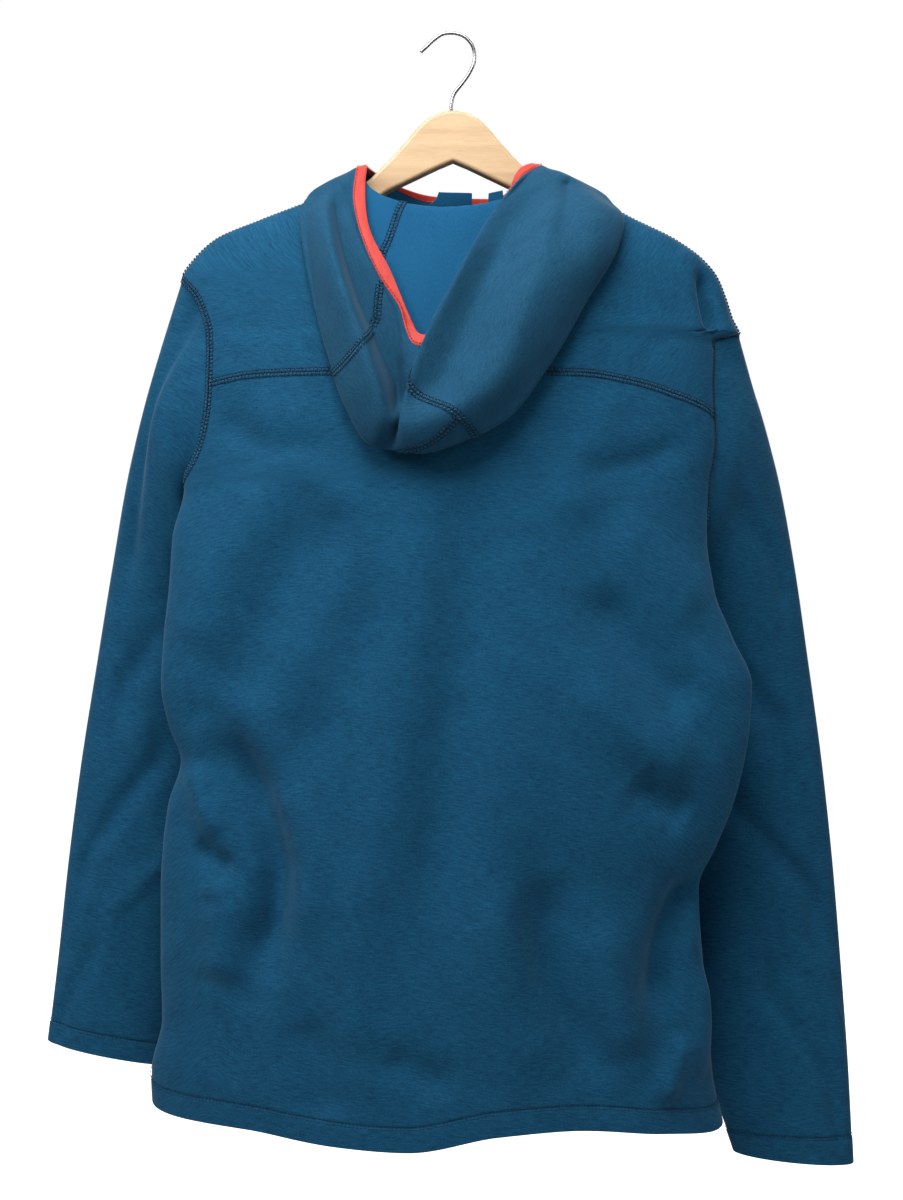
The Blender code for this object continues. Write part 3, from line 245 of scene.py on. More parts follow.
# The folds of the back: three places on the line of each one, how wide it is to each side of the
# line, and how far it stands out there (or lies in, below zero). Each fades out towards its ends.
# x0, z0, x1, z1, x2, z2, width, depth
BACK_FOLDS = [
    (16, -372, 6, -560, -22, -780, 34, -8),  # long valley down the middle
    (-26, -380, -38, -560, -70, -760, 30, 6),  # and the roll on its left
    (-100, -386, -160, -510, -194, -580, 34, -11),  # left shoulder blade to waist
    (-140, -372, -196, -470, -222, -540, 30, 6),
    (-52, -450, -96, -560, -130, -630, 30, -7),
    (-94, -398, -106, -450, -122, -516, 13, -4),
    (-200, -580, -146, -706, -168, -812, 22, -21),  # crescent at the left hip
    (-196, -730, -186, -764, -194, -806, 26, 8),  # the bulge inside the crescent
    (-218, -616, -206, -656, -190, -684, 14, 7),  # the roll above the pinch
    (-150, -630, -122, -700, -122, -770, 26, 7),  # the full cloth to its right
    (-216, -686, -200, -700, -180, -710, 11, -7),  # pinch
    (-208, -722, -194, -728, -180, -726, 11, 4),
    (110, -470, 160, -536, 208, -584, 24, -12),  # right waist
    (130, -410, 172, -462, 214, -500, 34, 7),
    (96, -540, 150, -600, 206, -626, 26, 7),
    (146, -632, 172, -652, 200, -668, 18, -8),
    (75, -700, 84, -800, 132, -892, 24, -13),  # long valley at the right hem
    (40, -700, 46, -800, 84, -890, 26, 6),
    (124, -740, 132, -810, 150, -870, 22, 8),
    (204, -716, 180, -765, 172, -842, 19, -17),
    (196, -846, 184, -876, 170, -908, 14, 9),  # lit tip beside the lower end of that one
    (216, -790, 210, -850, 200, -900, 12, 6),
    (-60, -858, -28, -872, 6, -878, 18, -6),
    (-128, -824, -112, -874, -104, -914, 22, -6),
    (20, -560, 30, -700, 20, -860, 30, 5),
    (-150, -300, -120, -372, -70, -420, 30, 5),
    (120, -300, 110, -370, 80, -430, 28, 5),
    (-200, -330, -160, -356, -96, -362, 15, -4),
    (200, -350, 150, -374, 92, -382, 15, -4),
    (-70, -690, -80, -780, -74, -870, 20, 5),
    (214, -202, 217, -232, 224, -264, 8, -13),  # groove beside the right shoulder cap
]
# The folds of the front, which a view from behind doesn't show: soft ones like the back's.
FRONT_FOLDS = [
    (-70, -300, -110, -480, -150, -640, 34, -6),
    (-60, -640, -90, -760, -120, -900, 32, -7),
    (-200, -600, -160, -680, -120, -730, 20, -7),
    (80, -320, 120, -500, 160, -620, 34, -6),
    (70, -660, 110, -780, 130, -900, 30, -8),
    (190, -620, 150, -700, 110, -740, 20, -7),
    (30, -420, 40, -600, 36, -820, 30, 4),
]
FOLD_POINTS = 9  # points on the line of a fold
FOLD_END = 0.25  # share of its length over which a fold fades out at each end
FOLD_LEFT = 0.2  # and how much of its depth is left there


def fold_height(folds, x, z):
    """How far the folds lift the cloth at (x, z): a bell across each line, fading at its ends."""
    total = np.zeros(np.broadcast(x, z).shape)
    for x0, z0, x1, z1, x2, z2, width, depth in folds:
        nearest = np.full(total.shape, 1e9)
        along = np.zeros(total.shape)
        line = through([(x0, z0), (x1, z1), (x2, z2)], np.linspace(0, 2, FOLD_POINTS))
        for k, (start, end) in enumerate(zip(line[:-1], line[1:])):
            run = end - start
            t = np.clip(((x - start[0]) * run[0] + (z - start[1]) * run[1]) / (run @ run), 0, 1)
            far = np.hypot(x - start[0] - t * run[0], z - start[1] - t * run[1])
            closer = far < nearest
            nearest = np.where(closer, far, nearest)
            along = np.where(closer, (k + t) / (len(line) - 1), along)
        fade = soft_step(along / FOLD_END) * soft_step((1 - along) / FOLD_END)
        fade = fade * (1 - FOLD_LEFT) + FOLD_LEFT
        total += depth * fade * np.exp(-((nearest / width) ** 2) * 1.4)
    return total


def body_base(angle, z):
    """A point of the body's outer surface before its folds; angle 0 is the middle of the back."""
    left_x, left_y, right_x, right_y, back_y, front_y, back_round, front_round = (
        smooth(BODY, column, z) for column in range(1, 9)
    )
    turn = np.radians(angle)
    side = np.sin(turn)
    ahead = np.cos(turn)
    edge_y = mix(left_y, right_y, (1 + side) / 2)
    behind = (back_y - edge_y) * np.abs(ahead) ** back_round
    before = (front_y - edge_y) * np.abs(ahead) ** front_round
    x = mix(left_x, right_x, (1 + side) / 2)
    return np.stack([x, edge_y + np.where(ahead >= 0, behind, before), z + 0 * x], axis=-1)


def surface_normals(surface, u, v, step_u, step_v):
    along_u = surface(u + step_u, v) - surface(u - step_u, v)
    along_v = surface(u, v + step_v) - surface(u, v - step_v)
    return unit(np.cross(along_u, along_v))


def body(angle, z):
    """A point of the body's outer surface, folds and all."""
    angle, z = np.broadcast_arrays(np.asarray(angle, dtype=float), np.asarray(z, dtype=float))
    base = body_base(angle, z)
    normal = surface_normals(body_base, angle, z, 0.8, 1.0)
    ahead = np.cos(np.radians(angle))
    lift = fold_height(BACK_FOLDS, base[..., 0], z) * soft_step((ahead + 0.02) / 0.2)
    lift = lift + fold_height(FRONT_FOLDS, base[..., 0], z) * soft_step((-ahead - 0.1) / 0.25)
    return base + normal * lift[..., None]


def body_normals(angle, z):
    return surface_normals(body, angle, z, 2.5, 1.0)


NECK_SIDE_Z = -128.0
NECK_BACK_Z = -172.0
NECK_FRONT_Z = -206.0
NECK_BACK_SHAPE = 2.6
NECK_FRONT_SHAPE = 4.9


def neck_z(angle):
    """The neckline's height, by degrees round the body."""
    side = np.sin(np.radians(angle)) ** 2
    behind = np.cos(np.radians(angle)) >= 0
    low = np.where(behind, NECK_BACK_Z, NECK_FRONT_Z)
    shape = np.where(behind, NECK_BACK_SHAPE, NECK_FRONT_SHAPE)
    return mix(low, NECK_SIDE_Z, shape * side / (1 + (shape - 1) * side))


def back_at(x, z):
    """The y of the back at (x, z), and how far below the neckline that is: 0 where no cloth is."""
    left = smooth(BODY, 1, z)
    right = smooth(BODY, 3, z)
    side = (2 * x - left - right) / (right - left)
    angle = np.degrees(np.arcsin(np.clip(side, -0.995, 0.995)))
    below = np.where(np.abs(side) < 0.995, neck_z(angle) - z, 0.0)
    return body(angle, z)[..., 1], np.maximum(below, 0.0)


def arm_angle(table, column, z):
    """The armhole's place round the body at a height: shoulder line above it, side seam below."""
    inside = smooth(table, column, z)
    return np.where(z > table[0][0], 90.0, np.where(z < table[-1][0], SIDE_SEAM, inside))


def zip_x(z):
    return mix(ZIP_TOP_X, ZIP_HEM_X, np.clip((ZIP_TOP_Z - z) / ZIP_RUN, 0, 1))


def front_angle(x, z, sign):
    """The angle of a place x on the front, counted from the left (sign -1) or the right (+1)."""
    left = smooth(BODY, 1, z)
    right = smooth(BODY, 3, z)
    side = (2 * x - left - right) / (right - left)
    return sign * 180 - np.degrees(np.arcsin(side))


def hem_front(across):
    """The front's lower edge: 0 at the left side seam, 0.5 at the zip, 1 at the right side seam."""
    ends = mix(HEM_BACK[0][1], HEM_BACK[-1][1], across)
    middle = 1 - np.abs(2 * across - 1)
    return ends - HEM_FRONT_STEP * soft_step(middle * 5) - HEM_FRONT_DROP * middle


def grid_normals(points, ring):
    """The directions square to a grid of points, rows across columns."""
    if ring:
        across = np.roll(points, -1, axis=1) - np.roll(points, 1, axis=1)
    else:
        across = np.gradient(points, axis=1)
    return unit(np.cross(np.gradient(points, axis=0), across))


EDGE_STEPS = (0.12, 0.4, 0.9)  # how far from a cut edge its rounding has points
EDGE_SHARE = 0.22  # the most of the first cell that each of these steps takes
EDGE_ROUND = (0.0, 0.5, 0.83, 1.0)  # share of the wall's half thickness there


def edge_rows(grid):
    """Adds rows close to the first and the last row of a grid, for the rounding of a cut edge."""

    def near(first, second):
        gap = np.maximum(np.linalg.norm((second - first)[:, :3], axis=1), 1e-6)
        parts = [np.minimum(d / gap, EDGE_SHARE * (k + 1)) for k, d in enumerate(EDGE_STEPS)]
        return [first + (second - first) * part[:, None] for part in parts]

    start = [grid[0]] + near(grid[0], grid[1])
    end = [grid[-1]] + near(grid[-1], grid[-2])
    return np.concatenate([np.array(start), grid[1:-1], np.array(end[::-1])])


def arc_lengths(points, ring):
    """Each point's place in the flat cloth, in metres: across from its middle, up from its end."""
    if ring:
        points = np.concatenate([points, points[:, :1]], axis=1)
    across = np.linalg.norm(np.diff(points, axis=1), axis=-1)
    across = np.concatenate([np.zeros((len(points), 1)), np.cumsum(across, axis=1)], axis=1)
    across -= across[:, across.shape[1] // 2][:, None]
    down = np.linalg.norm(np.diff(points, axis=0), axis=-1)
    down = np.concatenate([np.zeros((1, points.shape[1])), np.cumsum(down, axis=0)])
    if ring:
        down = down - down[-1]
    return np.stack([across, -down], axis=-1) * MM


def shell(name, points, out, back, finishes, ring=False, facing=1):
    """A closed wall of cloth round a grid of points, with round cut edges and UVs in metres.

    It reaches `out` to its right side of the points and `back` to its wrong side, which have the
    two finishes. Its last column joins its first where it is a ring.
    """
    size = points.shape[:2]
    out, back = (np.broadcast_to(side, size)[..., None].astype(float) for side in (out, back))
    uv = arc_lengths(points, ring)
    normals = grid_normals(points, ring) * facing
    grid = edge_rows(np.concatenate([points, normals, out, back, uv[:, : size[1]]], axis=-1))
    seam_uv = edge_rows(np.concatenate([points[:, :1], uv[:, -1:]], axis=-1))[..., 3:]
    if not ring:
        grid = np.swapaxes(edge_rows(np.swapaxes(grid, 0, 1)), 0, 1)
    rows, columns = grid.shape[:2]
    place, normal = grid[..., :3], unit(grid[..., 3:6])
    middle, half = (grid[..., 6:7] - grid[..., 7:8]) / 2, (grid[..., 6:7] + grid[..., 7:8]) / 2
    row_round, column_round = np.ones(rows), np.ones(columns)
    for k, share in enumerate(EDGE_ROUND):
        row_round[k] = row_round[-1 - k] = share
        if not ring:
            column_round[k] = column_round[-1 - k] = share
    half = half * np.minimum(row_round[:, None], column_round[None, :])[..., None]
    outer = place + normal * (middle + half)
    inner = place + normal * (middle - half)
    edge = np.zeros((rows, columns), dtype=bool)
    edge[[0, -1]] = True
    if not ring:
        edge[:, [0, -1]] = True
    outer_index = np.arange(rows * columns).reshape(rows, columns)
    inner_index = outer_index.copy()
    inner_index[~edge] = rows * columns + np.arange(np.count_nonzero(~edge))
    vertices = np.concatenate([outer.reshape(-1, 3), inner[~edge]]) * MM
    cells = np.meshgrid(np.arange(rows - 1), np.arange(columns - (not ring)), indexing="ij")
    i, j = (part.reshape(-1, 1) for part in cells)
    i, j = i + np.array([0, 1, 1, 0]), j + np.array([0, 0, 1, 1])
    right_side = outer_index[i, j % columns][:, ::facing]
    wrong_side = inner_index[i, j % columns][:, ::-facing]
    flat = grid[..., 8:10]
    if ring:
        flat = np.concatenate([flat, seam_uv], axis=1)
    uvs = np.concatenate([flat[i, j][:, ::facing], flat[i, j][:, ::-facing]])
    sides = np.repeat([0, 1], len(right_side))
    return add_mesh(name, vertices, [right_side, wrong_side], finishes, sides, uvs)


def add_mesh(name, vertices, faces, finishes, sides=None, uvs=None):
    """An object that rides on the jacket, from points in metres and arrays of faces."""
    mesh = bpy.data.meshes.new(name)
    corners = np.concatenate([np.full(len(part), part.shape[1]) for part in faces])
    mesh.vertices.add(len(vertices))
    mesh.vertices.foreach_set("co", vertices.astype(np.float32).ravel())
    mesh.loops.add(int(corners.sum()))
    indices = np.concatenate([part.ravel() for part in faces])
    mesh.loops.foreach_set("vertex_index", indices.astype(np.int32))
    mesh.polygons.add(len(corners))
    mesh.polygons.foreach_set("loop_start", (np.cumsum(corners) - corners).astype(np.int32))
    for finish in finishes:
        mesh.materials.append(finish)
    if sides is not None:
        mesh.polygons.foreach_set("material_index", sides.astype(np.int32))
    if uvs is not None:
        mesh.uv_layers.new(name="cloth").data.foreach_set("uv", uvs.astype(np.float32).ravel())
    mesh.update(calc_edges=True)
    mesh.shade_smooth()
    thing = bpy.data.objects.new(name, mesh)
    scene.collection.objects.link(thing)
    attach(thing, JACKET)
    return thing


def stand_for(piece, node):
    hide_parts(node)
    return piece


def wire(tree, kind, **values):
    """A shader node; a value that is an output socket is linked, and any other is set.

    An input is named by its label, or as i and its number.
    """
    node = tree.nodes.new("ShaderNode" + kind)
    for key, value in values.items():
        if key in ("operation", "data_type"):
            setattr(node, key, value)
            continue
        socket = node.inputs[int(key[1:]) if key[1:].isdigit() else key.replace("_", " ")]
        if isinstance(value, bpy.types.NodeSocket):
            tree.links.new(value, socket)
        else:
            socket.default_value = value
    return node


def new_material(name, roughness, **settings):
    made = bpy.data.materials.new(name)
    made.use_nodes = True
    shader = made.node_tree.nodes["Principled BSDF"]
    shader.inputs["Roughness"].default_value = roughness
    for key, value in settings.items():
        shader.inputs[key.replace("_", " ")].default_value = value
    return made, made.node_tree, shader


def colour_by(tree, shader, dark, light, value, low, high):
    """Colours a surface from dark to light, where a noise goes from `low` to `high`."""
    share = wire(tree, "MapRange", Value=value, From_Min=low, From_Max=high).outputs[0]
    tone = wire(tree, "Mix", data_type="RGBA", i0=share, i6=(*dark, 1), i7=(*light, 1))
    tree.links.new(tone.outputs[2], shader.inputs["Base Color"])


def raise_by(tree, shader, height, strength, depth):
    """Roughens a surface by a noise, `depth` millimetres deep at most."""
    bump = wire(tree, "Bump", Strength=strength, Distance=depth * MM, Height=height)
    tree.links.new(bump.outputs[0], shader.inputs["Normal"])


def noise(tree, place, scale, detail, roughness=0.5, **more):
    shape = {"Scale": scale, "Detail": detail, "Roughness": roughness, **more}
    return wire(tree, "TexNoise", Vector=place, **shape).outputs["Fac"]


def blotted(tree, place, across, down, detail=2.0, roughness=0.5):
    """Noise whose blots are so many millimetres across and down."""
    scale = wire(tree, "Mapping", Vector=place, Scale=(1 / (across * MM), 1 / (down * MM), 1))
    return noise(tree, scale.outputs[0], 1.0, detail, roughness)


def weighed(tree, a, weight, b):
    """a * weight + b"""
    return wire(tree, "Math", operation="MULTIPLY_ADD", i0=a, i1=weight, i2=b).outputs[0]


SHEEN_TINT = (0.5, 0.75, 1.0, 1)


def knit(name, dark, light, streaks, sheen):
    """Smooth-faced knit: short heathered streaks along the courses, a fine nap and soft blots."""
    made, tree, shader = new_material(
        name,
        roughness=0.85,
        Specular_IOR_Level=0.1,
        Sheen_Weight=sheen,
        Sheen_Roughness=0.4,
        Sheen_Tint=SHEEN_TINT,
    )
    place = wire(tree, "TexCoord").outputs["UV"]
    course = blotted(tree, place, 9.0, 1.3, roughness=0.6)
    fibre = blotted(tree, place, 1.7, 1.4, roughness=0.7)
    blots = blotted(tree, place, 30.0, 22.0)
    heather = weighed(tree, course, streaks, 0.0)
    heather = weighed(tree, fibre, 0.9 - streaks, heather)
    heather = weighed(tree, blots, 0.16, heather)
    colour_by(tree, shader, dark, light, heather, 0.38, 0.68)
    raise_by(tree, shader, weighed(tree, fibre, 0.8, course), 0.4, 0.5)
    return made


fleece = knit("body_fleece", (0.0016, 0.031, 0.072), (0.0068, 0.073, 0.148), 0.5, 0.16)
fleece_inside = knit("fleece_inside", (0.003, 0.038, 0.090), (0.008, 0.070, 0.150), 0.15, 0.1)


def even(count, power=1.0):
    return tuple(((k + 1) / count) ** power for k in range(count))


# How the rows of the panels are spaced between the level lines that all of them share.
NECK_TO_TIP = even(24)
TIP_TO_SEAM = even(30, 1.4)
SEAM_TO_UNDERARM = even(26)
UNDERARM_TO_HEM = even(130)
BAND = (24, 22.8, 21.8, 20.9, 20, 19.1, 18.2, 17, 15, 12.5, 10, 7.5, 5, 3, 1.4, 0)
BACK_COLUMNS = np.linspace(0, 1, 151)
FRONT_COLUMNS = np.linspace(0, 1, 76)
ZIP_LEVELS = (-262, -335, -409)  # where the same level lines pass the zip
BAND_STEP = 1.2  # from the last row of a panel to its band
GROOVE_DEPTH = 0.75
GROOVE_WIDTH = 1.6


def turned(above):
    """How far a turned edge stands out at a height above it: a groove lies under its stitches."""
    groove = GROOVE_DEPTH * np.exp(-(((above - TURN_UP) / GROOVE_WIDTH) ** 2))
    return TURN_STEP * soft_step((TURN_UP + 3 - above) / 4) - groove


def panel_grid(levels, spacings, left, right, s, hem):
    """Where one panel of the body has its points: angles, heights and how far each row is out.

    Each level(s) is a line across it, from the top one down, with rows between them as spaced;
    left(z) and right(z) are the angles of its side edges. hem(s) is its lower edge, or None.
    """
    rows = [levels[0](s)]
    for upper, lower, spacing in zip(levels[:-1], levels[1:], spacings):
        rows += [mix(upper(s), lower(s), part) for part in spacing]
    out = [0.0] * len(rows)
    if hem:
        rows += [hem(s) + above for above in BAND]
        out += [float(turned(above)) for above in BAND]
    z = np.array(rows)
    return mix(left(z), right(z), s[None, :]), z, np.array(out)[:, None]


def panel(name, angle, z, out):
    made = shell("cloth_" + name, body(angle, z), out, CLOTH, (fleece, fleece_inside))
    return stand_for(made, name)


def level_across(index):
    """A level line from the left armhole's row `index` to the right one's."""
    left = (ARMHOLE_LEFT[0][0], YOKE_SEAM[0][1], ARMHOLE_LEFT[-1][0])[index]
    right = (ARMHOLE_RIGHT[0][0], YOKE_SEAM[-1][1], ARMHOLE_RIGHT[-1][0])[index]
    return left, right


def back_left(z):
    return -arm_angle(ARMHOLE_LEFT, 1, z)


def back_right(z):
    return arm_angle(ARMHOLE_RIGHT, 1, z)


def back_neck(s):
    return neck_z(mix(-90, 90, s))


def tips(s):
    return mix(*level_across(0), s)


def cross_seam(s):
    return smooth(YOKE_SEAM, 1, s)


def underarms(s):
    return mix(*level_across(2), s)


def back_hem(s):
    return smooth(HEM_BACK, 1, s)


def back_hem_line(s):
    return back_hem(s) + BAND[0] + BAND_STEP


def back_panel(name, levels, spacings, hem):
    return panel(name, *panel_grid(levels, spacings, back_left, back_right, BACK_COLUMNS, hem))


yoke = back_panel("back_yoke", (back_neck, tips, cross_seam), (NECK_TO_TIP, TIP_TO_SEAM), None)
lower_levels = (cross_seam, underarms, back_hem_line)
lower_back = back_panel("back_lower", lower_levels, (SEAM_TO_UNDERARM, UNDERARM_TO_HEM), back_hem)


def front_grid(sign):
    """The points of a front panel; sign -1 is the wearer's left one."""
    armhole = ARMHOLE_LEFT if sign < 0 else ARMHOLE_RIGHT

    def side(z):
        return sign * arm_angle(armhole, 2, z)

    def centre(z):
        z = np.minimum(z, ZIP_TOP_Z)
        return front_angle(zip_x(z) + sign * ZIP_GAP / 2, z, sign)

    def from_zip(s):
        """0 at the zip and 1 at the side, whichever way the panel runs."""
        return s if sign < 0 else 1 - s

    def neck(s):
        return neck_z(mix(centre(np.array(ZIP_TOP_Z)), sign * 90, from_zip(s)))

    def level(index):
        ends = level_across(index)
        return lambda s: mix(ZIP_LEVELS[index], ends[0 if sign < 0 else 1], from_zip(s))

    def hem(s):
        return hem_front(0.5 + sign * 0.5 * from_zip(s))

    def hem_line(s):
        return hem(s) + TURN_UP + 0.5

    levels = (neck, level(0), level(1), level(2), hem_line)
    spacings = (NECK_TO_TIP, TIP_TO_SEAM, SEAM_TO_UNDERARM, UNDERARM_TO_HEM)
    s = np.array(FRONT_COLUMNS)
    if sign < 0:
        return panel_grid(levels, spacings, centre, side, s, hem)
    return panel_grid(levels, spacings, side, centre, 1 - s[::-1], hem)


front_left = panel("front_left", *front_grid(-1))
front_right = panel("front_right", *front_grid(1))

# ---------------------------------------------------------------- sleeves
# Each sleeve is one piece of the same fleece, set into its armhole, with a turned cuff. On the
# hanger they hang a little in front of the body, creased where the elbow has bent.

# A sleeve's sections below the armhole: the outer and the inner end of each one and its half depth.
# outer_x, outer_y, outer_z, inner_x, inner_y, inner_z, half_depth
SLEEVE_LEFT = [
    (-262, 10, -302, -227, 10, -404, 34),
    (-283, 26, -374, -212, 30, -448, 33),
    (-300, 40, -455, -198, 50, -502, 29),
    (-315, 46, -540, -190, 56, -576, 27),
    (-329, 46, -628, -200, 58, -656, 26),
    (-340, 44, -716, -212, 56, -738, 25),
    (-349, 42, -804, -228, 52, -824, 23),
    (-357, 40, -874, -247, 46, -897, 21),
]
SLEEVE_RIGHT = [
    (262, 20, -304, 213, 16, -442, 30),
    (285, 34, -376, 208, 38, -470, 31),
    (301, 42, -452, 198, 50, -516, 29),
    (315, 48, -540, 192, 58, -584, 27),
    (327, 48, -628, 200, 60, -662, 26),
    (336, 46, -716, 212, 58, -744, 25),
    (343, 44, -806, 218, 54, -828, 23),
    (349, 42, -894, 227, 50, -904, 22),
    (353, 40, -982, 249, 46, -974, 21),
]
# Creases of a sleeve, as lines from one place to another: turn is 0 at its outer edge, a quarter at
# the middle of its back, a half at its inner edge; down is 0 at the armhole and 1 at the cuff.
# turn0, down0, turn1, down1, width, depth
CREASES_LEFT = [
    (0.10, 0.02, 0.13, 0.34, 0.035, -6),
    (0.30, 0.36, 0.16, 0.52, 0.035, -5),
    (0.36, 0.30, 0.24, 0.42, 0.03, 3),
    (0.84, 0.30, 0.70, 0.44, 0.04, -4),
    (0.80, 0.62, 0.66, 0.72, 0.04, -4),
    (0.26, 0.60, 0.12, 0.74, 0.03, -5),
    (0.34, 0.70, 0.20, 0.80, 0.03, 3),
    (0.18, 0.84, 0.10, 0.95, 0.03, -3),
]
CREASES_RIGHT = [
    (0.24, 0.20, 0.12, 0.34, 0.035, -4),
    (0.34, 0.36, 0.18, 0.50, 0.035, -6),
    (0.40, 0.32, 0.28, 0.42, 0.03, 3),
    (0.30, 0.58, 0.14, 0.70, 0.03, -5),
    (0.86, 0.34, 0.70, 0.46, 0.04, -4),
    (0.80, 0.60, 0.66, 0.74, 0.04, -4),
    (0.26, 0.80, 0.12, 0.92, 0.03, -5),
    (0.20, 0.74, 0.08, 0.84, 0.03, 3),
]
SLEEVE_ROWS = 170
SLEEVE_LENGTH = 640.0
ARMHOLE_GAP = 0.5
SLEEVE_CLEAR = 4.5  # from a sleeve to the body in front of which it hangs
PUSH_SMOOTHINGS = 24
PUSH_ROWS = 12  # over how many rows a sleeve moves clear below its armhole
CREASE_END = 0.05  # share of the sleeve's length over which a crease fades out
NO_BAND = 99.0  # a height above the cuff's edge where nothing is turned up


def armhole_ring(armhole, seam_z, sign):
    """The armhole's closed line and the body's normals there, down its back and up its front."""
    tip = armhole[0][0]
    low = armhole[-1][0]
    z = [tip] + [mix(tip, seam_z, part) for part in TIP_TO_SEAM]
    z = np.array(z + [mix(seam_z, low, part) for part in SEAM_TO_UNDERARM])
    angle = sign * np.concatenate([smooth(armhole, 1, z), smooth(armhole, 2, z)[-2:0:-1]])
    z = np.concatenate([z, z[-2:0:-1]])
    return body(angle, z), body_normals(angle, z)


def sleeve_section(row, turn):
    outer = np.array(row[0:3], dtype=float)
    inner = np.array(row[3:6], dtype=float)
    point = mix(inner[None], outer[None], (1 + np.cos(turn))[:, None] / 2)
    point[:, 1] -= row[6] * np.sin(turn)
    return point


def clear_of_body(points, under, margin):
    """Moves points below the underarm that lie in the body, or near it, out towards the front."""
    x, y, z = points[..., 0], points[..., 1], points[..., 2]
    left = smooth(BODY, 1, z) - margin
    right = smooth(BODY, 3, z) + margin
    side = np.clip((2 * x - left - right) / (right - left), -1, 1)
    angle = np.degrees(np.arcsin(side))
    front = body(180 - angle, z)[..., 1] + margin
    back = body(angle, z)[..., 1] - margin
    inside = (np.abs(side) < 1) & (y > back) & (y < front) & (z < under)
    moved = points.copy()
    moved[..., 1] = np.where(inside, front, y)
    return moved


def ring_turns(ring):
    """How far round the sleeve each point of its armhole ring is, in radians, by length."""
    half = len(ring) // 2
    lengths = np.linalg.norm(np.roll(ring, -1, axis=0) - ring, axis=1)
    halves = [np.cumsum(part) / np.sum(part) for part in (lengths[:half], lengths[half:])]
    by_length = math.pi * np.concatenate([[0], halves[0], 1 + halves[1][:-1]])
    evenly = np.linspace(0, 2 * math.pi, len(ring), endpoint=False)
    return mix(by_length, evenly, 0.5)


def sleeve_normals(points, sign):
    return grid_normals(points, True) * -sign


def sleeve_points(sections, creases, armhole, seam_z, sign):
    """The sleeve's points, its first row on the armhole, and how far each row stands out."""
    ring, ring_normals = armhole_ring(armhole, seam_z, sign)
    turn = ring_turns(ring)
    stations = np.stack([ring] + [sleeve_section(row, turn) for row in sections])
    down = np.linspace(0, 1 - (BAND[0] + BAND_STEP) / SLEEVE_LENGTH, SLEEVE_ROWS)
    above = np.concatenate([np.full(SLEEVE_ROWS, NO_BAND), BAND])
    down = np.concatenate([down, 1 - np.array(BAND) / SLEEVE_LENGTH])
    points = through(stations, down * (len(stations) - 1))
    under = armhole[-1][0] - 3
    push = clear_of_body(points[1:], under, SLEEVE_CLEAR)[..., 1] - points[1:, :, 1]
    for _ in range(PUSH_SMOOTHINGS):
        push[1:-1] = (push[:-2] + 2 * push[1:-1] + push[2:]) / 4
        push = (np.roll(push, 1, axis=1) + 2 * push + np.roll(push, -1, axis=1)) / 4
    points[1:, :, 1] += push * soft_step(np.arange(1, len(points)) / PUSH_ROWS)[:, None]
    lift = np.zeros(points.shape[:2])
    for turn0, down0, turn1, down1, width, depth in creases:
        t = np.clip((down[:, None] - down0) / (down1 - down0), 0, 1)
        across = (turn / (2 * math.pi))[None, :] - mix(turn0, turn1, t)
        end = np.abs(down[:, None] - mix(down0, down1, t)) / CREASE_END
        lift += depth * np.exp(-((across / width) ** 2) - end**2)
    points = points + sleeve_normals(points, sign) * lift[..., None]
    seam_line = np.roll(ring, -1, axis=0) - np.roll(ring, 1, axis=0)
    points[0] += unit(np.cross(ring_normals, seam_line)) * sign * ARMHOLE_GAP
    return points, turned(above)[:, None]


def make_sleeve(node, sections, creases, armhole, seam_z, sign):
    points, out = sleeve_points(sections, creases, armhole, seam_z, sign)
    finishes = (fleece, fleece_inside)
    made = shell("cloth_" + node, points, out, CLOTH, finishes, ring=True, facing=-sign)
    return stand_for(made, node), points


left_hole = (ARMHOLE_LEFT, YOKE_SEAM[0][1], -1)
right_hole = (ARMHOLE_RIGHT, YOKE_SEAM[-1][1], 1)
sleeve_left, left_points = make_sleeve("sleeve_left", SLEEVE_LEFT, CREASES_LEFT, *left_hole)
sleeve_right, right_points = make_sleeve("sleeve_right", SLEEVE_RIGHT, CREASES_RIGHT, *right_hole)

# ---------------------------------------------------------------- hood
# The hood is a single layer of thinner fleece: two sides and a centre strip in two parts. It lies
# turned back on the yoke, folded into two lobes, and shows its lighter wrong side at the neck.

HOOD_CLOTH = 1.3
hood_fleece = knit("hood_fleece", (0.0035, 0.033, 0.070), (0.011, 0.068, 0.128), 0.4, 0.1)
hood_inside = knit("hood_inside", (0.002, 0.052, 0.126), (0.007, 0.074, 0.160), 0.1, 0.08)

